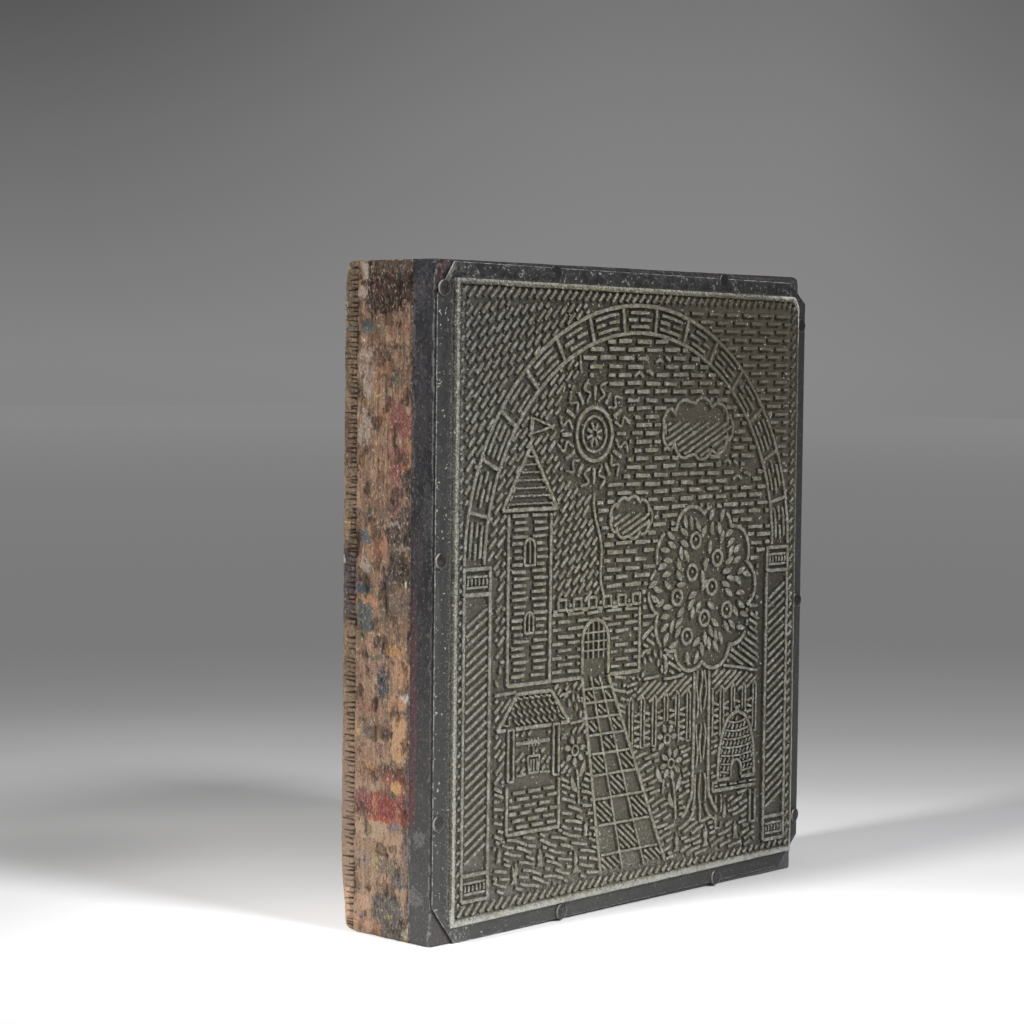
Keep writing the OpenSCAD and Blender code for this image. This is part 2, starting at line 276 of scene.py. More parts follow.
def makeWorld(s):
    scene.world = bpy.data.worlds.new("studio")
    m = Finish(scene.world)
    x, y, z = m.parts(m.coordinates["Generated"])
    wall = fadeRamp(m, z, s["wall"])
    for share, rise, start, end in s["dims"]:
        dim = m.math("ADD", m.times(m.math("MAXIMUM", z, 0.0), rise), share)
        wall = m.mix(m.times(m.span(beside(m, x, y), start, end), dim), wall, (0, 0, 0))
    light = m.add("ShaderNodeBackground", {"Color": (1, 1, 1), "Strength": lightSettings["world"]})[0]
    shown = m.add("ShaderNodeBackground", {"Color": wall})[0]
    m.blend("World Output", seen(m), light, shown)


scene.view_settings.view_transform = "Standard"
makeFloor(backdropSettings)
makeWorld(backdropSettings)
print("backdrop made")


# the picture, drawn in millimetres on the plate's face as (x, z), from the front objects to the back ones

pictureSettings = {
    "left": -44.45,
    "right": 45.7,
    "foot": 6.75,
    "head": 108.65,
    "pillar": 7.0,  # width
    "capital": 5.0,  # height, and that of the pillar's base
    "spring": 63.575,  # height of the arch's feet
    "archOuter": 45.075,  # radius
    "archInner": 39.575,
    "archLines": (41.05, 42.3, 43.55),  # radii of its rows of dashes
    "stones": 15,
    "line": 0.62,  # width of a main line
    "fine": 0.54,  # width of a hatch line or a dash
    "detail": 0.42,
    "ends": 0.84,  # share of its width that a line keeps at its ends
    "step": 0.35,  # between the points of a line
    "shortest": 0.3,
    "dashUpTo": 4.5,  # length of a line that is drawn as a dash with few points
    "bendFrom": 1.6,  # length of a dash that gets a middle point
    "tip": 0.22,  # length of a dash's ends
    "taper": 0.4,  # length of a longer line's ends
    "lift": 0.06,  # how far a hatch line strays
    "lean": 0.035,  # how steep it may get
    "course": 1.55,  # pitch of the brick courses
    "dash": (4.1, 1.0),  # length and gap
    "seed": 11,
}
rimInside = [(-45.65, 4.3), (47.2, 5.25), (47.2, 110.15), (-45.65, 111.05)]
mainLine, fineLine, detailLine = (pictureSettings[k] for k in ("line", "fine", "detail"))
draw = random.Random(pictureSettings["seed"])
golden = 137.5  # degrees between the turns of a seed spiral
cell = 0.2
gridLow = (-48.0, 2.0)
gridShape = (490, 560)  # columns over x, rows over z
cellMiddles = [gridLow[k] + cell * (np.arange(gridShape[k]) + 0.5) for k in (0, 1)]
cellX, cellZ = np.meshgrid(*cellMiddles, indexing="ij")


def cellAt(x, z):
    return int((x - gridLow[0]) / cell), int((z - gridLow[1]) / cell)


def allowed(area, x, z):
    i, j = cellAt(x, z)
    return 0 <= i < gridShape[0] and 0 <= j < gridShape[1] and bool(area[i, j])


def areaOf(outline):  # the cells inside a closed outline
    points = np.asarray(outline, float)
    inside = np.zeros(gridShape, bool)
    low = np.maximum(((points.min(0) - gridLow) / cell).astype(int) - 1, 0)
    high = np.minimum(((points.max(0) - gridLow) / cell).astype(int) + 2, gridShape)
    window = tuple(slice(*ends) for ends in zip(low, high))
    x, z = cellX[window], cellZ[window]
    for (ax, az), (bx, bz) in zip(points, np.roll(points, -1, 0)):
        if az != bz:
            crosses = (az > z) != (bz > z)
            inside[window] ^= crosses & (x < (bx - ax) * (z - az) / (bz - az) + ax)
    return inside


def grown(area, margin):
    steps = int(round(margin / cell))
    for _ in range(abs(steps)):
        near = area if steps > 0 else ~area
        shifted = near.copy()
        shifted[1:] |= near[:-1]
        shifted[:-1] |= near[1:]
        shifted[:, 1:] |= near[:, :-1]
        shifted[:, :-1] |= near[:, 1:]
        area = shifted if steps > 0 else ~shifted
    return area


strokes = {"outlines": [], "dashes": [], "hatching": [], "leaves": []}
free = areaOf(rimInside)  # where nothing stands yet


def around(centre, radius, angle):  # a point at an angle in degrees
    turn = radians(angle)
    return (centre[0] + radius * cos(turn), centre[1] + radius * sin(turn))


def arcRun(centre, radius, start, end, step=0.7):
    count = max(3, int(abs(radians(end - start)) * radius / step))
    return [around(centre, radius, start + (end - start) * k / count) for k in range(count + 1)]


def box(left, foot, right, head):
    return [(left, foot), (right, foot), (right, head), (left, head)]


def closed(outline):
    return outline + [outline[0]]


def sampled(points, step):
    out = [tuple(points[0])]
    for (ax, az), (bx, bz) in zip(points, points[1:]):
        count = max(1, int(math.hypot(bx - ax, bz - az) / step))
        out += [(ax + (bx - ax) * k / count, az + (bz - az) * k / count) for k in range(1, count + 1)]
    return out


def curved(points, each=6):  # a smooth run through the points
    last, out = len(points) - 1, []
    for i in range(last):
        ring = [points[min(max(i + k, 0), last)] for k in (-1, 0, 1, 2)]
        for t in (s / each for s in range(each)):
            place = []
            for a, b, c, d in zip(*ring):
                square, cube = (2 * a - 5 * b + 4 * c - d) * t * t, (3 * b - a - 3 * c + d) * t**3
                place.append(0.5 * (2 * b + (c - a) * t + square + cube))
            out.append(tuple(place))
    return out + [tuple(points[-1])]


def stroke(layer, points, width):  # one raised line, a little narrower at its ends
    s, lengths = pictureSettings, [0.0]
    for a, b in zip(points, points[1:]):
        lengths.append(lengths[-1] + math.dist(a, b))
    total, ends = lengths[-1], s["ends"]
    if total < s["shortest"]:
        return
    if total < s["dashUpTo"]:
        tip = min(s["tip"], total / 4)
        marks = [0, tip, total - tip, total]
        if total > s["bendFrom"] and len(points) > 6:
            marks.insert(2, total / 2)
        widths = [width * draw.uniform(0.8, 1.15) for _ in marks]
        widths[0] *= ends
        widths[-1] *= ends
        points = list(zip(*(np.interp(marks, lengths, [p[k] for p in points]) for k in (0, 1))))
    else:
        tapers = [min(1, ends + (1 - ends) * min(at, total - at) / s["taper"]) for at in lengths]
        widths = [width * taper * draw.uniform(0.86, 1.14) for taper in tapers]
    strokes[layer].append((points, widths))


def lay(layer, points, width, area=None, shortest=0.9):  # a line, kept to where it may go
    where = free if area is None else free & area
    run, step = [], pictureSettings["step"]
    for place in [*sampled(points, step), None]:
        if place and allowed(where, *place):
            run.append(place)
            continue
        if len(run) * step > shortest:
            stroke(layer, run, width)
        run = []


def outline(points, width=mainLine, shortest=0.9):
    lay("outlines", points, width, shortest=shortest)


def claim(area, margin=0.0):
    global free
    free = free & ~grown(area, margin)


def claimLine(points, reach):  # keeps later strokes off a line
    for x, z in sampled(points, 0.3) if points else []:
        i0, j0 = cellAt(x - reach, z - reach)
        i1, j1 = cellAt(x + reach, z + reach)
        free[max(i0, 0) : i1 + 1, max(j0, 0) : j1 + 1] = False


def shape(points, width=mainLine, margin=0.35, inside=None):  # a closed form with its inner lines
    area = areaOf(points)
    if inside:
        inside(grown(area, -0.4))
    outline(closed(points), width)
    claim(area, margin + width / 2)


def hatch(area, angle, pitch, width=fineLine, dash=None, layer="hatching", wave=0.0, drop=0.0, phase=0.0):
    if not area.any():
        return
    step, lift, lean = (pictureSettings[k] for k in ("step", "lift", "lean"))
    ca, sa = cos(radians(angle)), sin(radians(angle))
    xs, zs = cellX[area], cellZ[area]
    along, across = xs * ca + zs * sa, -xs * sa + zs * ca
    low, high = along.min(), along.max()
    repeat = sum(dash) if dash else high - low + 3
    row = 0
    first = math.floor(across.min() / pitch) * pitch + phase
    while first + row * pitch <= across.max():
        v = first + row * pitch
        start = math.floor(low / repeat) * repeat - repeat + (row % 2) * repeat / 2 if dash else low - 1.5
        while start < high:
            length = dash[0] * draw.uniform(0.82, 1.1) if dash else repeat
            height = v + draw.uniform(-lift, lift)
            slope = draw.uniform(-lean, lean) if dash else 0.0
            if draw.random() >= drop:
                run = []
                for u in (start + step * k for k in range(int(length / step) + 1)):
                    w = height + slope * (u - start) + wave * sin(u * 0.9 + v)
                    run.append((u * ca - w * sa, u * sa + w * ca))
                lay(layer, run, width, area, shortest=0.75)
            start += repeat
        row += 1


def bricks(area, pitch=pictureSettings["course"], width=fineLine, phase=0.0):
    hatch(area, 0, pitch, width, pictureSettings["dash"], "dashes", drop=0.012, phase=phase)


def blade(foot, angle, length, width, bend=0.0):  # a lens-shaped stroke, as a leaf or a blade of grass
    shares = [k / 6 for k in range(7)]
    points = [around(foot, length * t, angle + bend * t) for t in shares]
    if not all(allowed(free, *points[k]) for k in (0, 3, 6)):
        return []
    widths = [max(0.16, width * sin(pi * min(1, t * 0.92 + 0.06)) ** 0.8) for t in shares]
    strokes["leaves"].append((points, widths))
    return points


def drawFrame(p):  # pillars, arch and what lies outside them
    left, right, foot, pillar, capital = (p[k] for k in ("left", "right", "foot", "pillar", "capital"))
    spring, inner, outer, stones = (p[k] for k in ("spring", "archInner", "archOuter", "stones"))
    half = mainLine / 2
    centre = ((left + right) / 2, spring)
    low, high = foot + capital, spring - capital
    border = areaOf(rimInside) & ~areaOf(box(left, foot, right, p["head"]))
    hatch(grown(border, -0.2), 45, 1.3, 0.5)
    claim(border, 0.2)
    for x in (left, right - pillar):
        for side in (x + half, x + pillar - half):
            outline([(side, low), (side, high)])
        for z in (low + 1.6 * (k + 1) for k in range(int((high - low - 4) / 1.6))):
            if z + 3.2 < high:
                lay("hatching", [(x + 0.95, z + 0.1), (x + pillar - 0.95, z + 3.1)], 0.5)
        for z in (foot, high):
            outline(closed(box(x + half, z + half, x + pillar - half, z + capital - half)))
            for step in (1.55, 3.4):
                outline([(x + 0.9, z + step), (x + pillar - 0.9, z + step)], detailLine)
            for tooth in (x + 1.2 + 0.93 * k for k in range(6)):
                lay("hatching", [(tooth, z + 1.95), (tooth, z + 3.05)], detailLine, shortest=0.5)
        claim(areaOf(box(x, foot, x + pillar, spring)), 0.2)
    for radius in (inner + half, outer - half):
        outline(arcRun(centre, radius, 0, 180))
    for k in range(1, stones):
        outline([around(centre, r, 180 * k / stones) for r in (inner + 0.6, outer - 0.6)])
    for k in range(stones):
        start, end = 180 * k / stones, 180 * (k + 1) / stones
        for n, radius in enumerate(p["archLines"]):
            cut = draw.uniform(2.2, 3.6) if (k + n) % 2 else draw.uniform(1.6, 2.4)
            middle = (start + end) / 2 + draw.uniform(-0.8, 0.8)
            halves = [(start + 1.7, middle - 0.7), (middle + 0.7, end - 1.7)]
            for run in halves if n == 1 else [(start + cut, end - cut)]:
                lay("dashes", arcRun(centre, radius, *run), fineLine)
    claim(areaOf(arcRun(centre, outer, 0, 180) + arcRun(centre, inner, 180, 0)), 0.2)
    low, high = left + pillar, right - pillar
    bay = areaOf([(low, foot), (high, foot), (high, spring), *arcRun(centre, inner, 0, 180), (low, spring)])
    spandrel = free & ~bay & (cellZ > spring)
    hatch(spandrel & (cellX < centre[0]), 47, 1.2, fineLine, (2.7, 0.65), "dashes", drop=0.015)
    bricks(spandrel & (cellX >= centre[0]), phase=0.3)
    return bay


def drawTuft(x, z, size):
    lines = []
    for k in range(-2, 3):
        angle = 90 + k * 21 + draw.uniform(-6, 6)
        lines.append(blade((x + k * 0.28 * size, z), angle, size * (2.9 - 0.35 * abs(k)), 0.5, -9 * k))
    for points in lines:
        claimLine(points, 0.5)


def drawFlower(x, z, height, lean, petals=7, radius=1.7):
    stem = curved([(x, z), (x + lean * 0.35, z + height * 0.5), (x + lean, z + height)])
    top = stem[-1]
    outline(arcRun(top, 0.85, 0, 360, 0.4), 0.4, 0.5)
    for angle in (360 * k / petals + 10 for k in range(petals)):
        blade(around(top, 1.25, angle), angle, radius, 0.95)
    claim(areaOf(arcRun(top, radius + 1.5, 0, 360)), 0.1)
    outline(stem, 0.45)
    for t, side in ((0.3, -1), (0.5, 1), (0.68, -1)):
        px, pz = stem[int(t * (len(stem) - 1))]
        claimLine(blade((px + side * 0.4, pz), 90 - side * 48, 3.2, 1.05, side * 22), 0.55)
    claimLine(stem, 0.7)


def drawTree():
    x, z, middle = 19.7, 14.75, (19.7, 56.75)
    crown = []
    for angle in range(0, 360, 36):
        crown += arcRun(around(middle, 11.0, angle), 4.7, angle - 64, angle + 64)
    area = areaOf(crown)
    for k in range(8):  # fruit
        hub = around(middle, 3.6 * sqrt(k + 0.5), golden * k)
        outline(arcRun(hub, 1.4, 0, 360, 0.5), 0.56, 0.4)
        lay("dashes", [(hub[0] - 0.3, hub[1] + 0.25), (hub[0] + 0.35, hub[1] + 0.05)], 0.5, shortest=0.2)
        claim(areaOf(arcRun(hub, 2.0, 0, 360)))
    leaf = grown(area, -0.9)
    for k in range(190):
        turn = 137.508 * k + 40
        hub = around(middle, 1.09 * sqrt(k + 0.3), turn)
        angle = turn + draw.uniform(-30, 30) + (180 if draw.random() < 0.2 else 0)
        start = around(hub, -1.25, angle)
        if allowed(leaf, *hub) and allowed(leaf, *start):
            claimLine(blade(start, angle, 2.55, 1.0, draw.uniform(-20, 20)), 0.42)
    outline(closed(crown))
    claim(area, 0.7)
    edge = ((5.2, -0.4), (3.3, 2.2), (2.35, 6), (2.2, 27.5))
    left, right = (curved([(x + s * a, z + b) for a, b in edge]) for s in (-1, 1))
    outline(left)
    outline(right)
    for k, shift in enumerate((-1.25, -0.15, 1.05)):  # bark
        points = []
        for t in np.linspace(0, 1, 40):
            flare = shift * (1 + 0.9 * max(0, 1 - t * 4))
            points.append((x + flare + 0.28 * sin(t * 19 + k * 2), z + 0.6 + 26 * t))
        for start, end in ((0, 11), (12, 25), (26, 40)):
            lay("hatching", points[start + k : end], detailLine)
    for s in (-1, 0, 1):  # roots
        outline(curved([(x + s * 1.4, z + 1.5), (x + s * 2.6, z - 0.6), (x + s * 4.6, z - 1.9)]), 0.5)
    claim(areaOf(left + right[::-1]), 0.7)


def drawSkep(x, z):  # a straw beehive on a bench
    width, height, rows = 11.0, 12.6, 8
    dome = [(x - width / 2 * (1 - t**2.6) ** 0.5, z + height * t) for t in np.linspace(0, 1, 22)]
    dome += [(2 * x - a, b) for a, b in dome[::-1]]
    arch = arcRun((x, z + 1.9), 1.5, 180, 0, 0.4)
    door = [(x - 1.5, z + 0.3), (x - 1.5, z + 1.9), *arch, (x + 1.5, z + 0.3)]
    outline(door, 0.45)
    claim(areaOf(door), 0.4)

    def bands(area):
        for k in range(rows):
            low, high = z + height * k / rows, z + height * (k + 1) / rows
            reach = width / 2 * (1 - ((k + 1) / rows) ** 2.6) ** 0.5
            if k < rows - 1:
                band = [(x + reach * u, high - 0.55 * (1 - u * u)) for u in np.linspace(-1, 1, 16)]
                lay("outlines", band, 0.36, area)
            count = int(2 * reach / 1.25)
            for u in (-1 + 2 * (n + 0.5) / (count + 1) for n in range(count + 1)):
                px, pz = x + reach * u, (low + high) / 2 - 0.55 * (1 - u * u)
                lay("hatching", [(px - 0.28, pz - 0.42), (px + 0.28, pz + 0.42)], 0.4, area, shortest=0.4)

    shape(dome, inside=bands)
    shape(box(x - 7, z - 1.9, x + 7, z - 0.3), inside=lambda area: hatch(area, 0, 0.8, 0.36, (2.4, 0.6)))
    for leg in (x - 5.2, x + 5.2):
        shape(box(leg - 0.8, z - 9, leg + 0.8, z - 2.1), 0.45)


def drawWell():
    left, foot, eaves, bar = -33.45, 16.75, 35.2, 32.6
    middle, right, rim = left + 7.0, left + 14.0, foot + 9.0
    for side in (left + 1.2, right - 1.2):
        shape(box(side - 0.7, rim + 0.5, side + 0.7, eaves), detailLine)

    def tiles(area):
        for k in range(4):
            z = 35.9 + 1.45 * k
            for x in (left - 2.2 + 1.45 * n + (k % 2) * 0.72 for n in range(14)):
                tile = [(x, z + 0.95), (x + 0.05, z + 0.1), (x + 0.65, z - 0.15), (x + 1.2, z + 0.1)]
                lay("hatching", tile, 0.36, area, shortest=0.5)

    def wall(area):
        for k in range(1, 7):
            z = foot + 0.1 + 1.2 * k + 0.1
            for x in (left + (0.9, 2.85, 1.9, 3.6)[k % 4] + 3.9 * n for n in range(-1, 4)):
                lay("dashes", [(x, z), (x + draw.uniform(2.7, 3.1), z)], fineLine + 0.03, area, shortest=0.8)

    shape([(left - 2.2, eaves), (right + 2.2, eaves), (right - 2.6, 41.2), (left + 2.6, 41.2)], inside=tiles)
    outline([(left + 2.1, bar), (right - 2.1, bar)], 0.6)
    outline([(right - 0.4, bar), (right + 1.4, bar), (right + 1.4, 30.9)], 0.45)
    for k in range(4):  # rope
        turn = [(middle - 1.4 + 0.8 * k, 33.3), (middle - 1.1 + 0.8 * k, 31.9)]
        lay("hatching", turn, detailLine, shortest=0.6)
    outline([(middle, 31.9), (middle, 30.4)], 0.36, 0.6)
    bucket = [(middle - 1.5, 30.2), (middle + 1.5, 30.2), (middle + 1.1, 27.3), (middle - 1.1, 27.3)]
    shape(bucket, detailLine, inside=lambda area: hatch(area, 90, 0.8, 0.34))
    claim(areaOf(box(left + 1.9, 31.5, right - 1.9, 33.7)))
    lip = [(middle + 7.6 * cos(a), rim + 0.5 + sin(a)) for a in np.linspace(0, 2 * pi, 40)]
    outline(lip[:21], 0.45)
    claim(areaOf(lip), 0.3)
    shape(box(left + 0.3, foot + 0.3, right - 0.3, rim - 0.3), inside=wall)


def drawPath(p):
    gate, foot = (-10.45, 42.75), ((p["left"] + p["right"]) / 2, p["foot"] + 0.4)
    left, right = ([(gate[0] + s * 3.5, gate[1]), (foot[0] + s * 9, foot[1])] for s in (-1, 1))
    for edge in (left, right):
        outline(edge)
    levels = [0.0]
    while levels[-1] < 1:
        levels.append(min(levels[-1] + (0.062 + 0.118 * levels[-1]), 1))

    def at(t, u):
        x0, x1 = (side[0][0] + (side[1][0] - side[0][0]) * t for side in (left, right))
        return (x0 + (x1 - x0) * u, gate[1] + (foot[1] - gate[1]) * t)

    for k, (a, b) in enumerate(zip(levels, levels[1:])):
        if k:
            outline([at(a, 0.04), at(a, 0.96)], detailLine)
        for n in range(3):
            if (k + n) % 2:
                tile = [at(a, n / 3), at(a, (n + 1) / 3), at(b, (n + 1) / 3), at(b, n / 3)]
                hatch(grown(areaOf(tile), -0.4), -38, 0.92, 0.4)
            if n:
                outline([at(a, n / 3), at(b, n / 3)], 0.4)
    claim(areaOf(left + right[::-1]), 0.3)


def drawFence(left, right, low, high):
    pitch = 3.3
    x = left
    while x < right:
        tip = [(x + 0.45, high + 1.2), (x, high + 1.9), (x - 0.45, high + 1.2)]
        shape([(x - 0.5, low), (x + 0.5, low), *tip], 0.36, margin=0.1)
        x += pitch
    area = areaOf(box(left, low, right, high))
    for k in range(int((high - low) / 1.12)):  # woven rods
        z, turn = low + 0.5 + 1.12 * k, pi * (k % 2)
        rod = [(u, z + 0.3 * cos((u - left) * pi / pitch + turn)) for u in np.arange(left, right, 0.5)]
        lay("hatching", rod, 0.5, area)
    claim(area, 0.5)


def drawCastle():
    left, foot, wallRight, gateX, spring = -33.45, 42.75, 1.55, -10.45, 49.25
    middle, right = left + 5.5, left + 11.0
    wallTop, top = foot + 12, foot + 30.0
    apex = top + 11
    outline([(middle, apex), (middle, apex + 5)], detailLine)
    pennant = [(middle + 0.4, apex + 4.8), (middle + 5.4, apex + 3.3), (middle + 0.4, apex + 2.1)]
    shape(pennant, 0.36, margin=0.2)

    def shingles(area):
        edge = ((-0.6, 0.7), (-0.35, 0.1), (0.1, -0.1), (0.5, 0.2), (0.62, 0.7))
        for k in range(8):
            z = top + 0.6 + 1.35 * k
            for x in (middle + 1.5 * n + (k % 2) * 0.75 for n in range(-6, 7)):
                lay("hatching", [(x + a, z + b) for a, b in edge], 0.36, area, shortest=0.6)

    def courses(area):
        span = (right - left - 2.7) / 2
        for k in range(1, 25):
            z = foot + 0.3 + 1.2 * k
            for x in (left + 0.9 + n * (span + 0.9) + (k % 4 > 1) * 0.5 for n in (0, 1)):
                ends = [(x + 0.2, z), (x + span - 0.1 - (k % 3) * 0.4, z + draw.uniform(-0.08, 0.08))]
                lay("dashes", ends, fineLine, area, shortest=0.7)

    shape([(left - 1.5, top + 0.1), (right + 1.5, top + 0.1), (middle, apex)], inside=shingles)
    for x, z, w, h in ((left + 4.2, foot + 20.5, 2.6, 4.6), (left + 4.4, foot + 8.8, 2.2, 3.6)):
        arch = arcRun((x + w / 2, z + h - w / 2), w / 2, 0, 180, 0.4)
        window = [(x, z), (x + w, z), (x + w, z + h - w / 2), *arch[1:]]
        outline(closed(window), detailLine)
        outline([(x + w / 2, z + 0.3), (x + w / 2, z + h - 0.3)], 0.3)
        claim(areaOf(window), 0.5)
    shape(box(left + 0.1, foot, right - 0.1, top), inside=courses)
    arch = arcRun((gateX, spring), 3.5, 180, 0)
    gate = [(gateX - 3.5, foot + 0.2), (gateX - 3.5, spring), *arch, (gateX + 3.5, foot + 0.2)]
    outline(gate)
    opening = grown(areaOf(gate), -0.2)
    for x in (gateX - 3.5 + 1.4 * k for k in range(1, 5)):
        lay("outlines", [(x, foot + 3.2), (x, spring + 3.4)], 0.3, opening)
    for z in (foot + 4.6 + 1.6 * k for k in range(3)):
        lay("outlines", [(gateX - 3.4, z), (gateX + 3.4, z)], 0.3, opening)
    claim(areaOf(gate), 0.45)
    x = right + 2.0
    while x < wallRight - 1.9:  # merlons
        low, high = wallTop + 0.2, wallTop + 2
        shape([(x, low), (x, high), (x + 2, high), (x + 2, low)], 0.5, margin=0.1)
        x += 4
    bricks(areaOf(box(right + 0.3, foot + 0.3, wallRight - 0.3, wallTop - 0.4)), 1.25, phase=0.35)
    outline([(right, wallTop), (wallRight, wallTop), (wallRight, foot), (gateX + 3.5, foot)])
    outline([(gateX - 3.5, foot), (left, foot)])
    claim(areaOf(box(right, foot, wallRight, wallTop)), 0.55)


def drawBush(x, z, size):
    lobes = []
    for angle in range(-10, 221, 33):
        hub = (x + size * 0.62 * cos(radians(angle)), z + size * 0.5 * sin(radians(max(angle, 0))))
        lobes += arcRun(hub, size * 0.36, angle - 62, angle + 62, 0.5)

    def leafage(area):
        for k in range(int(size * 6)):
            r, a = 0.88 * sqrt(k), radians(golden * k)
            px, pz = x + r * cos(a) * 1.1, z + size * 0.25 + r * sin(a) * 0.8
            if allowed(area, px, pz) and allowed(free, px, pz):
                claimLine(blade((px, pz), 90 + draw.uniform(-50, 50), 1.5, 0.6), 0.4)

    shape(lobes, 0.5, inside=leafage)


def drawCloud(x, z, width, height):
    points = []
    for angle in range(0, 360, 40):
        hub = (x + width * 0.36 * cos(radians(angle)), z + height * 0.3 * sin(radians(angle)))
        points += arcRun(hub, height * 0.3, angle - 58, angle + 58, 0.5)
    shape(points, 0.56, inside=lambda area: hatch(area & (cellZ < z + height * 0.12), 24, 1.15, 0.5))


def drawSun():
    centre = (-11.45, 85.575)
    outline(arcRun(centre, 4.7, 0, 360, 0.6))
    outline(arcRun(centre, 3.1, 0, 360, 0.5), detailLine)
    for angle in range(20, 380, 45):
        lay("hatching", [around(centre, r, angle) for r in (0.6, 2.1)], 0.5, shortest=0.6)
    for angle in range(0, 360, 30):
        outline([around(centre, r, angle) for r in (6, 8.5)])
        wave = [(r, angle + 15 + degrees(0.09 * sin(r * 2.4))) for r in np.arange(5.8, 10.2, 0.4)]
        outline([around(centre, *place) for place in wave], detailLine)
    claim(areaOf(arcRun(centre, 5.6, 0, 360)))
    for angle in range(0, 360, 15):
        claimLine([around(centre, r, angle) for r in (5.6, 10.3 if angle % 30 else 9.2)], 0.75)


def drawBird(x, z, size, lean):
    for s in (-1, 1):
        knee = (x + s * size * 0.45, z + size * (0.42 + lean * s))
        wing = curved([(x, z), knee, (x + s * size, z + size * (0.1 + lean * s))])
        outline(wing, 0.55)
        claimLine(wing, 0.7)


def drawHills():
    far = curved([(1.2, 47.6), (9, 51.8), (20, 49.5), (29, 52.8), (38, 49.2)])
    near = curved([(1.2, 42.6), (10, 40.6), (22, 42.2), (38, 39.8)])
    outline(far)
    outline(near, 0.5)
    claimLine(far, 0.45)
    claimLine(near, 0.45)
    low, middle = areaOf([(1.2, 36), *near, (38, 36)]), areaOf(near + far[::-1])
    hatch(low, 32, 1.15)
    hatch(middle, -28, 1.2)
    claim(low | middle)


def drawGround():  # sky, field and lawn fill what is left
    lawn, lean = cellZ < 42.4, 0.16
    leftSky = (cellX + (cellZ - 58) * lean < -8.5) & ~lawn
    divide = [(-8.5 - (z - 58) * lean + 0.5 * sin(z * 0.5), z) for z in np.arange(56, 104, 0.7)]
    outline(divide, 0.5)
    claimLine(divide, 0.5)
    hatch(free & leftSky, 45, 1.12, fineLine, (2.6, 0.75), "dashes", drop=0.01)
    bricks(free & ~leftSky & ~lawn, 1.5, 0.66)
    plough = lawn & (cellX < -8) & (cellZ > 26)
    hatch(free & plough, 42, 1.15, fineLine, (3.4, 0.6), "dashes")
    grass = free & lawn & ~plough
    hatch(grass & (cellX < -2), -16, 1.12, 0.52, (5.0, 0.55), "dashes", wave=0.16)
    hatch(grass & (cellX >= -2), 14, 1.12, 0.52, (4.4, 0.5), "dashes", wave=0.16)


def drawScene(p):
    claim(~drawFrame(p))
    low = cellZ < p["spring"] - 1  # beside the pillars a strip stays empty
    claim(low & ((cellX > p["right"] - p["pillar"] - 2.2) | (cellX < p["left"] + p["pillar"] + 1.1)))
    tufts = [(-31, 8.4, 1.3), (-24.5, 10.6, 1.1), (-15, 8.2, 1.35), (13, 8.4, 1.2), (21.5, 8.2, 1.35)]
    tufts += [(30.5, 8.6, 1.15), (27, 13.2, 0.9), (-35, 12.6, 0.9), (-12.6, 14.5, 0.85)]
    for tuft in tufts:
        drawTuft(*tuft)
    drawFlower(12.6, 14.4, 10.5, -1.6, 8, 1.9)
    drawFlower(8.8, 19.5, 10.0, 1.0)
    drawFlower(-14.4, 20.5, 9.5, -1.2, radius=1.6)
    drawTree()
    drawSkep(30.4, 20.2)
    drawWell()
    drawPath(p)
    drawFence(-0.6, 36.6, 28.6, 36.2)
    drawCastle()
    for bush in ((-34.4, 43.2, 4.6), (-17.2, 36.6, 4.6), (5.2, 42.8, 4.4)):
        drawBush(*bush)
    drawHills()
    drawSun()
    drawCloud(17.5, 86.2, 21, 9.5)
    drawCloud(-1.2, 70.5, 11, 6.4)
    birds = [(30.8, 76.6, 2.6, 0.12), (27.4, 79.4, 2.0, -0.08), (1.8, 95.6, 2.6, 0.05), (7.2, 98.2, 2.0, 0.1)]
    for bird in birds:
        drawBird(*bird)
    drawGround()


drawScene(pictureSettings)
print("picture drawn:", {name: len(runs) for name, runs in strokes.items()})


# geometry node helpers


class Recipe(Nodes):  # a geometry node tree with named inputs
    def __init__(self, name, sockets):
        super().__init__(bpy.data.node_groups.new(name, "GeometryNodeTree"))
        face = self.tree.interface
        for label, kind in {"Geometry": "Geometry", **sockets}.items():
            face.new_socket(label, in_out="INPUT", socket_type="NodeSocket" + kind)
        face.new_socket("Geometry", in_out="OUTPUT", socket_type="NodeSocketGeometry")
        self.given = self.add("NodeGroupInput")

    def step(self, kind, inputs, **settings):  # a geometry node, by the end of its name
        return self.add("GeometryNode" + kind, inputs, **settings)[0]

    def named(self, name, kind="FLOAT"):
        return self.step("InputNamedAttribute", {"Name": name}, data_type=kind)

    def keep(self, geometry, name, value):
        inputs = {"Geometry": geometry, "Name": name, "Value": value}
        return self.step("StoreNamedAttribute", inputs, data_type="FLOAT", domain="POINT")

    def end(self, geometry):
        geometry = self.step("RealizeInstances", {"Geometry": geometry})
        geometry = self.step("SetMaterial", {"Geometry": geometry, "Material": self.given["Finish"]})
        self.tree.links.new(geometry, self.tree.nodes.new("NodeGroupOutput").inputs[0])
        return self


def grow(thing, recipe, values):  # runs the recipe on an object and leaves a plain mesh in its place
    modifier = thing.modifiers.new("recipe", "NODES")
    modifier.node_group = recipe.tree
    for item in recipe.tree.interface.items_tree:
        if item.in_out == "INPUT" and item.name in values:
            modifier[item.identifier] = values[item.name]
    bpy.context.view_layer.update()
    made = bpy.data.meshes.new_from_object(thing.evaluated_get(bpy.context.evaluated_depsgraph_get()))
    name = thing.name
    thing.modifiers.clear()
    bpy.data.objects.remove(thing)
    made.name = name
    return linkNew(name, made)


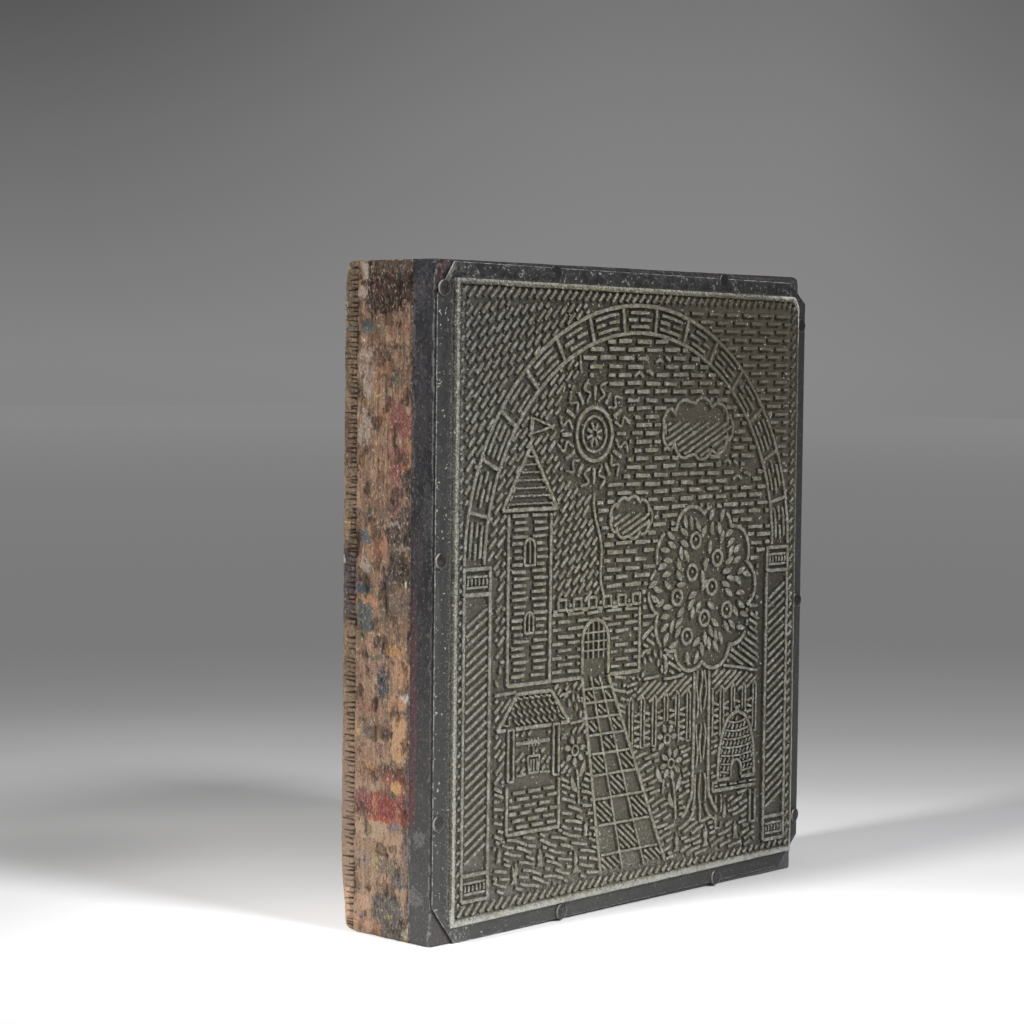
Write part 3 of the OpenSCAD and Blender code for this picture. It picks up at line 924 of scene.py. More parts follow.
def mark(mesh, name, values):  # numbers, vectors or colours of the mesh's points
    values = np.asarray(values, np.float32)
    width = 1 if values.ndim == 1 else values.shape[1]
    kind, field = {1: ("FLOAT", "value"), 3: ("FLOAT_VECTOR", "vector"), 4: ("FLOAT_COLOR", "color")}[width]
    mesh.attributes.new(name, kind, "POINT").data.foreach_set(field, values.ravel())


def setFaces(name, points, faces, material, attributes):  # points in millimetres
    mesh = bpy.data.meshes.new(name)
    mesh.from_pydata((np.asarray(points, float) * millimetre).tolist(), [], faces)
    for label, values in attributes.items():
        mark(mesh, label, values)
    mesh.materials.append(material)
    mesh.polygons.foreach_set("use_smooth", [True] * len(mesh.polygons))
    mesh.update()
    return linkNew(name, mesh)


# metal finishes


def makeGround(m, grain, tint, speck, pits):  # the etched ground between the lines
    colour = m.between(grain, 0.38, 0.64, (32, 30, 25), (90, 85, 73))
    rows = [
        (tint, 0.5, 0.62, 0.45, (70, 58, 68)),
        (tint, 0.46, 0.36, 0.4, (60, 66, 54)),
        (speck, 0.56, 0.64, 0.75, (136, 129, 110)),
        (speck, 0.4, 0.3, 0.8, (18, 17, 16)),
        (pits, 0.56, 0.63, 0.6, (130, 123, 102)),
        (pits, 0.46, 0.4, 0.55, (24, 22, 20)),
    ]
    return m.coats(colour, rows)


def makeLineTops(m, x, z, grain, tint, speck, pits, patch):  # the olive tops of the lines
    colour = m.between(grain, 0.36, 0.64, (77, 72, 51), (130, 123, 90))
    rows = [
        (m.noise(0.14, 4, 0.62), 0.42, 0.58, 0.6, (124, 114, 72)),
        (tint, 0.54, 0.64, 0.45, (106, 99, 58)),
        (patch, 0.55, 0.66, 0.6, (166, 160, 132)),
        (patch, 0.44, 0.36, 0.5, (76, 72, 62)),
        (speck, 0.62, 0.7, 0.8, (218, 215, 206)),
        (speck, 0.38, 0.3, 0.6, (52, 49, 42)),
    ]
    colour = m.coats(colour, rows)
    corner = m.times(m.span(x, -0.016, -0.04), m.span(z, 0.07, 0.102))
    colour = m.coat(colour, (84, 76, 66), corner, m.span(patch, 0.36, 0.5, (0.3, 0.9)))
    rows = [
        (pits, 0.47, 0.39, 0.85, (40, 37, 31)),
        (pits, 0.53, 0.6, 0.8, (186, 181, 150)),
        (m.noise(0.1, 3, 0.6, m.stretched((1, 1, 1), (0.3, 0, 0.1))), 0.5, 0.6, 0.4, (118, 98, 66)),
    ]
    glint = m.times(m.span(m.noise(1.4, 2, 0.5), 0.66, 0.7), m.span(pits, 0.46, 0.53))
    return m.coat(m.coats(colour, rows), (228, 227, 220), glint, 0.85)


def makeFlange(m, x, z, rise, low, dots, patch):
    colour = m.between(m.noise(0.8, 4, 0.7), 0.38, 0.66, (50, 50, 51), (66, 66, 65))
    # painted light: the flange too is lighter towards the foot
    colour = m.coat(colour, (96, 96, 94), low, 0.42)
    streak = m.noise(0.35, 3, 0.7, m.stretched((1, 1, 0.07)))
    rows = [(streak, 0.62, 0.7, 0.4, (98, 97, 94)), (m.noise(2.4, 3, 0.6), 0.66, 0.71, 1.0, (172, 170, 166))]
    colour = m.coats(colour, rows)
    colour = m.coat(colour, (182, 181, 176), dots, m.span(x, -0.03, -0.044, (0.3, 0.9)))
    crumbs = m.times(m.span(m.noise(1.7, 2, 0.6), 0.6, 0.66), m.span(z, 0.108, 0.111))
    colour = m.coat(colour, (176, 174, 168), crumbs, m.span(patch, 0.46, 0.56, (0.15, 0.85)))
    colour = m.coat(colour, (32, 32, 34), m.span(patch, 0.52, 0.42), m.span(z, 0.106, 0.111, (0, 0.7)))
    spill = m.times(m.span(x, -0.0482, -0.0466), m.span(x, -0.04, -0.044))  # dust beside the left rim
    spill = m.times(spill, m.span(m.noise(2.1, 3, 0.7), 0.5, 0.6))
    colour = m.coat(colour, (154, 153, 147), spill, m.span(z, 0.115, 0.09, (0.2, 0.6)))
    # painted shade: the plate's edge face is near black below the flange, for the shadowed gap beside the
    # wood
    colour = m.coat(colour, (20, 20, 21), m.span(rise, 10.62, 10.45), 0.85)
    return m.coat(colour, (30, 31, 31), m.span(x, -0.02, 0.05, (0, 0.55)))


def makeRimTone(m, x, z, speck):
    colour = m.between(m.noise(2.2, 4, 0.74), 0.4, 0.6, (96, 95, 86), (180, 179, 170))
    colour = m.coat(colour, (232, 231, 226), m.span(speck, 0.6, 0.68))
    cornerHighlight = m.times(m.span(x, 0.036, 0.046), m.span(z, 0.1, 0.109))  # painted highlight on the rim's head-right corner
    # darker towards the right, less so at the bright corner
    right = m.times(m.span(x, 0.0, 0.046), m.math("SUBTRACT", 0.5, m.times(cornerHighlight, 0.5)))
    colour = m.coat(colour, (62, 62, 60), right)
    colour = m.coat(colour, (216, 216, 210), cornerHighlight, 0.6)
    # painted light: the rim is lighter towards the foot
    return m.coat(colour, (210, 210, 202), m.span(z, 0.07, 0.0), 0.46)


def makePlateFinish():
    m = Finish(bpy.data.materials.new("inkedPlate"))
    x, y, z = m.parts(m.place)
    rise = m.times(y, -1000.0)  # millimetres towards the viewer
    grain, tint, speck = m.noise(2.6, 4, 0.68), m.noise(0.32, 3, 0.6), m.noise(5.2, 2, 0.6)
    pits, patch = m.noise(2.5, 4, 0.8), m.noise(0.5, 4, 0.66)
    top = m.span(rise, 11.5, 11.64)
    low = m.span(z, 0.115, 0.0, smooth=False)  # painted light: lighter towards the foot, standing for light bounced up from the floor
    dots = m.span(m.noise(1.35, 2, 0.5), 0.665, 0.7)
    tops = makeLineTops(m, x, z, grain, tint, speck, pits, patch)
    picture = m.mix(top, makeGround(m, grain, tint, speck, pits), tops)
    # painted light towards the foot
    picture = m.coat(picture, (151, 146, 125), low, 0.25)
    drift = m.math("MAXIMUM", m.span(z, 0.02, 0.005), m.span(x, -0.04, -0.0462))  # dust along the rim
    picture = m.coat(picture, (178, 178, 170), drift, m.span(pits, 0.49, 0.58), 0.42)
    picture = m.coat(picture, (30, 28, 24), m.span(x, -0.015, 0.05, (0, 0.3)))
    picture = m.coat(picture, (30, 30, 28), m.span(x, 0.02, 0.036, (0, 0.42)), m.span(z, 0.075, 0.05))
    # painted shade: darker towards the head, away from the floor's bounce light
    picture = m.coat(picture, (36, 31, 26), m.span(z, 0.07, 0.11, (0, 0.2)))
    picture = m.coat(picture, (94, 95, 94), m.span(x, -0.012, -0.04, (0, 0.25)))
    dirt = m.times(m.span(x, -0.005, 0.03), m.span(z, 0.06, 0.095))
    picture = m.coat(picture, (86, 79, 66), dirt, m.span(patch, 0.36, 0.6, (0.4, 0.75)))
    picture = m.coat(picture, (82, 75, 62), dirt, m.times(top, m.span(pits, 0.44, 0.56, (0.3, 0.75))))
    picture = m.coat(picture, (206, 205, 196), dots, 0.7)
    colour = m.mix(m.painted("field"), makeFlange(m, x, z, rise, low, dots, patch), picture)

    # wear and painted highlight: the lines' shoulders and the flange's edge turn pale grey, less where the
    # plate is dirty
    faded = m.math("ADD", 0.1, m.math("ADD", m.times(dirt, 0.6), m.span(z, 0.09, 0.11, (0, 0.18))))
    wornAndLit = m.times(m.painted("wear"), m.math("SUBTRACT", 1.0, m.times(faded, m.painted("field"))))
    rubAndHighlight = m.between(m.noise(1.6, 3, 0.65), 0.36, 0.6, (128, 127, 122), (206, 205, 200))
    colour = m.mix(m.times(wornAndLit, m.span(m.noise(0.6, 4, 0.72), 0.4, 0.6, (0.25, 0.9))), colour, rubAndHighlight)
    # the rim's tone: worn metal and dust, with painted light along the left and the foot
    rimDustAndLight = m.math("ADD", m.painted("rim"), m.times(m.math("SUBTRACT", pits, 0.5), 2.0))
    rimDustAndLight = m.times(m.span(rimDustAndLight, 0.28, 0.8), m.span(m.noise(0.35, 4, 0.7), 0.34, 0.5, (0.5, 1)))
    colour = m.mix(rimDustAndLight, colour, makeRimTone(m, x, z, speck))
    rough = m.math("ADD", m.span(grain, 0.3, 0.7, (0.4, 0.62)), m.times(dirt, 0.3))
    return m.finish(colour, rough, 0.25, 0.4, m.bump(grain, 0.08, 0.7))


def makeBradFinish():
    m = Finish(bpy.data.materials.new("bradIron"))
    x, _, z = m.parts(m.place)
    grain = m.noise(1.9, 4, 0.65)
    colour = m.between(grain, 0.38, 0.64, (48, 46, 46), (80, 77, 75))
    colour = m.coat(colour, (140, 136, 132), m.span(m.noise(3.5, 2), 0.66, 0.73))
    colour = m.coat(colour, (18, 18, 18), m.span(x, 0.03, 0.049), 0.65)
    inked = m.span(z, 0.1118, 0.1121)  # the head's two brads
    colour = m.coat(colour, (30, 30, 31), inked, 0.6)
    # painted highlight and wear on the head's edge rings, faint on the head's two brads
    colour = m.coat(colour, (214, 212, 208), m.painted("wear"), m.math("SUBTRACT", 1.0, m.times(inked, 0.75)))
    return m.finish(colour, 0.42, 0.55, 0.5, m.bump(grain, 0.05, 0.5))


plateFinish = makePlateFinish()
bradFinish = makeBradFinish()
print("metal finishes made")


# the raised lines

reliefSettings = {
    "Face": 11.75,  # height of the printing face above the frame's origin plane, towards -Y
    "Root": 10.86,  # where a line's sides end, under the etched ground
    "Spread": 0.04,  # how much lower some lines are than others
    "Bumps": 0.09,  # how deep their dents are
    "Waver": 0.26,  # how far they stray sideways
    "Seed": 5,
    "endDip": 0.09,  # how much lower a line's ends are
    # across a line: beside its middle, share of the height
    "section": [
        (-0.9, 0.0), (-0.58, 0.66), (-0.5, 0.93), (-0.4, 1.0),
        (0.4, 1.0), (0.5, 0.93), (0.58, 0.66), (0.9, 0.0),
    ],
}


def makeSection(points):
    mesh = bpy.data.meshes.new("lineSection")
    edges = [(k, (k + 1) % len(points)) for k in range(len(points))]
    mesh.from_pydata([(x, h * 0.01, 0) for x, h in points], edges, [])
    mark(mesh, "share", [h for _, h in points])
    return linkNew("lineSection", mesh)


def makeReliefRecipe():
    sockets = {name: "Float" for name in ("Face", "Root", "Spread", "Bumps", "Waver")}
    r = Recipe("raisedLines", {"Section": "Object", **sockets, "Seed": "Int", "Finish": "Material"})
    given = r.given

    def vector(kind, a, b):
        return r.add("ShaderNodeVectorMath", {0: a, "Scale" if kind == "SCALE" else 1: b}, operation=kind)[0]

    place = r.step("InputPosition", {})
    shake = r.add("ShaderNodeTexNoise", {"Vector": place, "Scale": 0.5, "Detail": 3.0})["Color"]
    offset = vector("MULTIPLY", vector("SUBTRACT", shake, (0.5, 0.5, 0.5)), (1, 1, 0))
    curves = r.step("MeshToCurve", {"Mesh": given["Geometry"]})
    curves = r.step("SetPosition", {"Geometry": curves, "Offset": vector("SCALE", offset, given["Waver"])})
    lower = r.add("FunctionNodeRandomValue", data_type="FLOAT")
    own = r.add("GeometryNodeCurveOfPoint")["Curve Index"]
    wanted = {"Max_001": given["Spread"], "ID": own, "Seed": given["Seed"]}
    for socket in lower[0].node.inputs:
        if socket.identifier in wanted:
            r.feed(socket, wanted[socket.identifier])
    lower = [socket for socket in lower if socket.type == "VALUE" and socket.enabled][0]
    curves = r.keep(curves, "lower", lower)
    curves = r.step("SetCurveNormal", {"Curve": curves}, mode="Z_UP")
    section = r.add("GeometryNodeObjectInfo", {"Object": given["Section"]})["Geometry"]
    section = r.step("MeshToCurve", {"Mesh": section})
    inputs = {"Curve": curves, "Profile Curve": section, "Fill Caps": True, "Scale": r.named("strokeWidth")}
    mesh = r.step("CurveToMesh", inputs)
    x, y, _ = r.add("ShaderNodeSeparateXYZ", {0: place})
    inputs = {"Vector": place, "Scale": 0.9, "Detail": 4.0, "Roughness": 0.6}
    bumps = r.add("ShaderNodeTexNoise", inputs)["Fac"]
    swell = r.times(r.math("MAXIMUM", r.math("SUBTRACT", bumps, 0.46), 0.0), given["Bumps"])
    drop = r.math("ADD", r.math("ADD", r.named("lower"), swell), r.named("dip"))
    top = r.math("SUBTRACT", r.math("SUBTRACT", given["Face"], drop), given["Root"])
    height = r.math("ADD", given["Root"], r.times(r.named("share"), top))
    final = r.add("ShaderNodeCombineXYZ", {0: x, 1: r.times(height, -1.0), 2: y})[0]
    mesh = r.step("SetPosition", {"Geometry": mesh, "Position": vector("SCALE", final, millimetre)})
    # wear and painted highlight: a line's shoulders are marked brighter
    shoulder = r.math("ABSOLUTE", r.math("SUBTRACT", r.named("share"), 0.92))
    rubAndHighlight = r.math("MAXIMUM", r.math("SUBTRACT", 1.0, r.times(shoulder, 5.0)), 0.0)
    mesh = r.keep(r.keep(mesh, "wear", rubAndHighlight), "field", 1.0)
    return r.end(r.step("SetShadeSmooth", {"Geometry": mesh, "Shade Smooth": False}))


def raiseLines(name, runs, values):
    points, edges, widths, dips = [], [], [], []
    for line, width in runs:
        start = len(points)
        points += [(x, z, 0.0) for x, z in line]
        edges += [(k, k + 1) for k in range(start, len(points) - 1)]
        widths += list(width)
        dip = 0.0 if math.dist(line[0], line[-1]) < 0.4 and len(line) > 8 else reliefSettings["endDip"]
        dips += [dip] + [0.0] * (len(line) - 2) + [dip]
    mesh = bpy.data.meshes.new(name)
    mesh.from_pydata(points, edges, [])
    mark(mesh, "strokeWidth", widths)
    mark(mesh, "dip", dips)
    return grow(linkNew(name, mesh), reliefRecipe, values)


lineSection = makeSection(reliefSettings["section"])
reliefRecipe = makeReliefRecipe()
reliefValues = {**reliefSettings, "Section": lineSection, "Finish": plateFinish}
reliefPieces = []
for pieceName, layer in zip(("pictureOutlines", "brickDashes", "hatchLines", "leafStrokes"), strokes):
    reliefPieces.append(raiseLines(pieceName, strokes[layer], reliefValues))
    reliefValues["Seed"] += 1
bpy.data.objects.remove(lineSection)
print("relief raised:", {p.name: sum(len(f.vertices) - 2 for f in p.data.polygons) for p in reliefPieces})


# the etched plate

plateSettings = {
    "outline": [
        (-44.8, 0.1), (45.7, 1.05), (51.3, 6.65), (51.3, 109.9),
        (46.3, 113.8), (-46.1, 114.7), (-50.1, 109.0), (-50.1, 6.9),
    ],
    "rimOuter": [(-46.5, 3.1), (47.75, 4.05), (47.75, 111.0), (-46.5, 111.9)],
    "rimInner": rimInside,
    "cells": (236, 268),  # of the ground, across and up
    # loops of the flange's edge, from the back on: inset, height above the frame's origin plane, wear
    "edge": [
        (0.75, 10.0, 0), (0.5, 10.16, 0), (0.05, 10.16, 0), (0, 10.21, 0), (0, 10.44, 0),
        (0.07, 10.52, 1), (0.2, 10.6, 0), (0.39, 10.7, 0), (0.46, 10.75, 0), (0.54, 10.78, 0),
    ],
    "straight": 3,  # loops of the edge that aren't bruised
    "chafe": (8, 7, 0.42),  # a rubbed spot at the foot-left crop: loop, points, wear
    "flange": 10.9,  # its height
    "flangeLoops": 5,
    # loops of the rim: corners, inset, height, then how bright at the left, at the foot and elsewhere: worn
    # metal and dust, with painted light at the left and the foot
    "rim": [
        ("rimOuter", -0.1, 10.9, 0.22, 0.22, 0),
        ("rimOuter", -0.05, 11.02, 0.25, 0.25, 0),
        ("rimOuter", -0.01, 11.63, 0.22, 0.85, 0.85),
        ("rimOuter", 0.05, 11.73, 0.6, 1, 1),
        ("rimOuter", 0.2, 11.75, 1, 0.95, 1),
        ("rimOuter", 0.48, 11.75, 0.76, 0.85, 0.42),
        ("rimInner", -0.22, 11.75, 0.48, 0.52, 0.4),
        ("rimInner", -0.04, 11.72, 0.36, 0.42, 0.32),
        ("rimInner", 0.02, 11.63, 0.36, 0.15, 0.15),
        ("rimInner", 0.14, 11.12, 0.36, 0, 0),
    ],
    "sides": 44,  # beyond this x a place belongs to the left or the right edge
    "crops": 46,  # and beyond this one to a cropped corner
    "middle": 57,  # height that parts the foot's half from the head's
    "inside": (6, 110),  # heights between the foot's and the head's rim
    "topSides": (-45.4, 7),  # the rim's top is bright as its left up to this x, as its foot up to this z
    "top": 11.7,  # above this the rim is dented
    "rounding": {"rimOuter": 1.3, "rimInner": 2.6},  # of its head-right corner
    "shake": {"rimOuter": 0.7, "rimInner": 1.2},  # how uneven its sides are
    "ground": 11.12,  # height of the etched ground beside the lines
    "openGround": 0.2,  # how much deeper the open ground is
}


def insetOutline(points, distance):  # moves each side inwards; points run anticlockwise
    points = [np.array(p, float) for p in points]
    out = []
    for k, here in enumerate(points):
        a, b = here - points[k - 1], points[(k + 1) % len(points)] - here
        na = np.array((-a[1], a[0])) / np.linalg.norm(a)
        nb = np.array((-b[1], b[0])) / np.linalg.norm(b)
        out.append(here + (na + nb) * distance / (1 + na @ nb))
    return out


def quadLoop(corners, counts):
    out = []
    for k in range(4):
        a, b = corners[k], corners[(k + 1) % 4]
        out += [a + (b - a) * n / counts[k % 2] for n in range(counts[k % 2])]
    return np.array(out)


def outerLoop(corners, counts):  # eight corners, shared out over the four sides
    out = []
    for k in range(4):
        before, first, last, after = (corners[(2 * k + n) % 8] for n in (-1, 0, 1, 2))
        run = [(before + first) / 2, first, last, (last + after) / 2]
        marks = np.concatenate(([0], np.cumsum([np.linalg.norm(b - a) for a, b in zip(run, run[1:])])))
        at = np.linspace(0, marks[-1], counts[k % 2] + 1)[:-1]
        for m in marks[1:3]:
            at[np.abs(at - m).argmin()] = m
        out += list(zip(*(np.interp(at, marks, [r[n] for r in run]) for n in (0, 1))))
    return np.array(out)


def wobble(x, z, scale, seed):
    return noise.noise(Vector((x * scale, z * scale, seed)))


def linesCover():  # how much of the neighbourhood of each cell the raised lines take up
    cover = np.zeros(gridShape, float)
    for line in (line for runs in strokes.values() for line, _ in runs):
        for place in sampled(line, 0.3):
            i, j = cellAt(*place)
            if 0 <= i < gridShape[0] and 0 <= j < gridShape[1]:
                cover[max(i - 1, 0) : i + 2, max(j - 1, 0) : j + 2] = 1
    for _ in range(6):
        near = cover[1:-1, 1:-1] * 2 + cover[:-2, 1:-1] + cover[2:, 1:-1] + cover[1:-1, :-2] + cover[1:-1, 2:]
        cover[1:-1, 1:-1] = near / 6
    return cover


def rounder(x, z, radius):  # rounds the rim's head-right corner
    cornerX, cornerZ = rimInside[2]
    u, v = cornerX - x, cornerZ - z
    if max(u, v) >= radius or min(u, v) > 0.9:
        return x, z
    turn = (1 - max(u, v, 0) / radius) * pi / 4
    near, far = radius * (1 - cos(turn)), radius * (1 - sin(turn))
    low = min(u, v)
    return (cornerX - far, cornerZ - near - low) if u > v else (cornerX - near - low, cornerZ - far)


def bruised(x, z, height, s):  # a place on the flange's edge, knocked inwards a little
    shift = max(0, 0.06 * wobble(x, z, 0.35, 1)) + 0.15 * max(0, wobble(x, z, 1.3, 2) - 0.25)
    inX = (1 if x < 0 else -1) * (abs(x) > s["sides"])
    inZ = (1 if z < s["middle"] else -1) * (abs(x) <= s["crops"])
    x, z = x + shift * inX, z + shift * inZ
    return x, z, height + 0.02 * wobble(x, z, 0.8, 4)


def rimPlace(x, z, height, corners, s):
    shift = 0.11 * wobble(x, z, 0.5, 7) + 0.09 * wobble(x, z, 2.1, 8)
    x += shift * s["shake"][corners] * (abs(x) > s["sides"])
    z += shift * s["shake"][corners] * (not s["inside"][0] <= z <= s["inside"][1])
    x, z = rounder(x, z, s["rounding"][corners])
    if height > s["top"]:
        height -= 0.05 * max(0, wobble(x, z, 0.5, 9)) + 0.03 * max(0, wobble(x, z, 1.9, 10))
    return x, z, height


def makePlate(s):
    counts = across, up = s["cells"]
    total = 2 * sum(counts)
    cover = linesCover()
    points, wear, rim = [], [], []

    def put(place, wornAndLit=0, bright=0):
        x, z, height = place
        points.append((x, -height, z))
        wear.append(wornAndLit)
        rim.append(bright)

    for level, (inset, height, wornAndLit) in enumerate(s["edge"]):
        loop = outerLoop(insetOutline(s["outline"], inset), counts)
        for x, z in loop:
            put((x, z, height) if level < s["straight"] else bruised(x, z, height, s), wornAndLit)
    level, count, wornAndLit = s["chafe"]
    wear[level * total : level * total + count] = [wornAndLit] * count
    inner = quadLoop(insetOutline(s["rimOuter"], s["rim"][0][1]), counts)
    for k in range(1, s["flangeLoops"] + 1):
        # the last flange loop is a little bright at the left and the foot, as dust and painted light
        dustAndLight = 0.06 * (k == s["flangeLoops"])
        for x, z in loop + (inner - loop) * k / (s["flangeLoops"] + 1):
            dents = 0.03 * wobble(x, z, 0.22, 5) + 0.018 * wobble(x, z, 1.1, 6)
            put((x, z, s["flange"] + dents), bright=dustAndLight if x < -s["sides"] or z < s["inside"][0] else 0)
    outside = len(points)
    topLeft, topFoot = s["topSides"]
    for corners, inset, height, left, foot, rest in s["rim"]:
        low = height < s["ground"]
        for x, z in quadLoop(insetOutline(s[corners], inset), counts):
            place = x, z, _ = rimPlace(x, z, height, corners, s)
            atLeft = x < (-s["sides"] if low else topLeft) and (low or z > s["inside"][0])
            atFoot = z < (s["inside"][0] if low else topFoot)
            put(place, bright=left if atLeft else foot if atFoot else rest)
    faces = []
    for a in range(0, len(points) - total, total):
        for k in range(total):
            n = (k + 1) % total
            faces.append((a + k, a + n, a + total + n, a + total + k))
    faces.append(tuple(range(total))[::-1])
    border = [(k, 0) for k in range(across)] + [(across, k) for k in range(up)]
    border += [(across - k, up) for k in range(across)] + [(0, up - k) for k in range(up)]
    index = {place: len(points) - total + k for k, place in enumerate(border)}
    a, b, c, d = insetOutline(s["rimInner"], s["rim"][-1][1])
    for j in range(1, up):
        for i in range(1, across):
            u, v = i / across, j / up
            x, z = (1 - u) * (1 - v) * a + u * (1 - v) * b + u * v * c + (1 - u) * v * d
            openness = 1 - min(1.0, cover[cellAt(x, z)] * 2.4)
            height = s["ground"] - s["openGround"] * openness
            index[(i, j)] = len(points)
            dents = 0.06 * wobble(x, z, 0.7, 11) + 0.1 * wobble(x, z, 1.9, 12) * (0.5 + openness)
            put((x, z, height + dents))
    for j in range(up):
        for i in range(across):
            faces.append((index[(i, j)], index[(i + 1, j)], index[(i + 1, j + 1)], index[(i, j + 1)]))
    field = [0] * outside + [1] * (len(points) - outside)
    return setFaces("etchedPlate", points, faces, plateFinish, {"wear": wear, "rim": rim, "field": field})


plate = makePlate(plateSettings)
print("plate made:", len(plate.data.polygons))


# the wooden mount

mountSettings = {
    "low": (-50.0, -10.0, 0.0),
    "high": (50.0, 11.75, 115.0),
    "edgeRadius": 0.55,
    # how much larger an outer edge's radius gets at the left foot, the left head and the right head
    "knocks": (2.1, 1.0, 0.7),
    # front and back (y, mm), grain across the mount, then the ticks of the saw: y, reach, pitch, depth
    "plies": {
        "frontPly": (-10.0, -4.85, True, (-4.85, -1.5, 0.95, 0.12)),
        "corePly": (-4.85, 8.45, False, None),
        "backPly": (8.45, 11.75, True, (8.5, 2.9, 0.84, 0.55)),
    },
    # fine step, coarse step and reach of the fine steps, across and up for each way of the grain
    "spacing": {True: ((0.3, 3.4, 2.4), (0.17, 0.17, 2)), False: ((0.3, 5.2, 2.4), (0.22, 0.22, 2))},
    "depthSpacing": (0.2, 0.24, 0.6),  # the same from front to back
    "seed": 31,
}
mountLow, mountHigh = np.array(mountSettings["low"]), np.array(mountSettings["high"])
mountSide, mountBack, mountHead = mountSettings["high"]


def spaced(low, high, fine, coarse, band):  # closely spaced near both ends
    steps = [0.0]
    while steps[-1] < band:
        steps.append(steps[-1] + fine)
    span = high - low - 2 * steps[-1]
    count = max(1, int(round(span / coarse)))
    middle = [steps[-1] + span * k / count for k in range(1, count)]
    return [low + s for s in steps + middle] + [high - s for s in steps[::-1]]


def latticeBox(xs, ys, zs):  # a closed box whose faces are grids
    nx, ny, nz = len(xs) - 1, len(ys) - 1, len(zs) - 1
    index, points, faces = {}, [], []

    def at(*key):
        if key not in index:
            index[key] = len(points)
            points.append((xs[key[0]], ys[key[1]], zs[key[2]]))
        return index[key]

    for j in range(ny):
        for k in range(nz):
            faces.append((at(0, j, k), at(0, j, k + 1), at(0, j + 1, k + 1), at(0, j + 1, k)))
            faces.append((at(nx, j, k), at(nx, j + 1, k), at(nx, j + 1, k + 1), at(nx, j, k + 1)))
    for i in range(nx):
        for k in range(nz):
            faces.append((at(i, 0, k), at(i + 1, 0, k), at(i + 1, 0, k + 1), at(i, 0, k + 1)))
            faces.append((at(i, ny, k), at(i, ny, k + 1), at(i + 1, ny, k + 1), at(i + 1, ny, k)))
        for j in range(ny):
            faces.append((at(i, j, 0), at(i, j + 1, 0), at(i + 1, j + 1, 0), at(i + 1, j, 0)))
            faces.append((at(i, j, nz), at(i + 1, j, nz), at(i + 1, j + 1, nz), at(i, j + 1, nz)))
    return np.array(points), faces


def wornRadius(x, y, z):  # of the mount's outer edges, larger at its knocked corners
    base = 0.8 + 0.9 * max(0, wobble(x + y, z, 0.12, 21)) + 0.5 * wobble(x + y, z, 0.6, 22)
    base *= mountSettings["edgeRadius"]
    back = max(0, (y - 8.0) / 3.75)
    foot, head = math.exp(-((z / 7.0) ** 2)) * back, math.exp(-(((mountHead - z) / 3.5) ** 2))
    leftFoot, leftHead, rightHead = mountSettings["knocks"]
    base += leftFoot * foot + leftHead * head * back if x < 0 else rightHead * head * (x > 0)
    return max(0.18, base)


def rounded(p):
    r = wornRadius(*p)
    core = np.minimum(np.maximum(p, mountLow + r), mountHigh - r)
    out = p - core
    if np.count_nonzero(np.abs(out) > 1e-9) < 2:
        return p
    return core + out / np.linalg.norm(out) * r


def sawTicks(seed, y, reach, pitch, depth):  # comb-like cuts beside the core
    cuts = random.Random(seed)
    z, out = 0.4, []
    while z < mountHead - 0.4:
        if cuts.random() < 0.95:
            length, width = reach * cuts.uniform(0.55, 1.0), cuts.uniform(0.16, 0.3)
            out.append((z, y, length, width, depth * cuts.uniform(0.5, 1.2), cuts.uniform(-0.13, 0.13)))
        z += pitch * cuts.choice((0.7, 0.85, 1.0, 1.0, 1.15, 1.45)) * cuts.uniform(0.9, 1.1)
    return out


def cutDepth(ticks, y, z):
    deep = 0.0
    for tickZ, start, length, width, depth, lean in ticks:
        t = (y - start) / length
        if not -0.04 < t < 1 or abs(z - tickZ) > 1.2:
            continue
        near = abs(z - tickZ - lean * (y - start)) / (width * (1.05 - 0.75 * t))
        if near < 1:
            deep = max(deep, depth * (1 - near * near) * (1 - 0.4 * t))
    return deep


def paintSides(points, stains, upright, seed):  # ragged blots on the left side, turned over for the right
    side = np.nonzero(np.abs(points[:, 0]) > mountSide - 0.5)[0]
    y, z = points[side, 1], points[side, 2]
    z = np.where(points[side, 0] > 0, mountHead - z, z)
    scaleY, scaleZ = (2.0, 0.6) if upright else (0.9, 1.2)
    places = [Vector((a * scaleY, b * scaleZ, seed)) for a, b in zip(y, z)]
    ragged = np.array([noise.fractal(p, 0.35, 2.1, 5) for p in places])
    y = y + 0.5 * np.array([wobble(a, b, 0.5, seed + 1) for a, b in zip(y, z)])
    z = z + 0.8 * np.array([noise.noise(p * 0.7 + Vector((0, 0, 7))) for p in places])
    shade, cover = np.zeros((len(side), 3)), np.zeros(len(side))
    for midY, midZ, halfY, halfZ, rgb, strength, loose in stains:
        near = np.abs((y - midY) / halfY) ** 3 + np.abs((z - midZ) / halfZ) ** 3 + 1.5 * loose * ragged
        share = strength * np.clip((1.15 - near) / 0.3, 0, 1)
        dull = [0.84 * c + 0.16 * sum(rgb) / 3 for c in rgb]
        shade = shade * (1 - share[:, None]) + np.array(tone(*dull)) * share[:, None]
        cover = cover * (1 - share) + share
    shade *= 1 + 0.4 * np.clip(1 - z / 60, 0, 1)[:, None]  # painted light: paler towards the foot
    paint, keep = np.zeros((len(points), 4)), np.zeros(len(points))
    paint[:, 3] = 1
    paint[side, :3], keep[side] = shade / np.maximum(cover, 1e-6)[:, None], cover
    return paint, keep


def boardDents(y, z, seed):  # cross-grained wood seen from the side
    return 0.06 * max(0, wobble(y * 0.6, z, 2.0, seed)) + 0.06 * max(0, wobble(y, z * 0.7, 0.5, seed + 1))


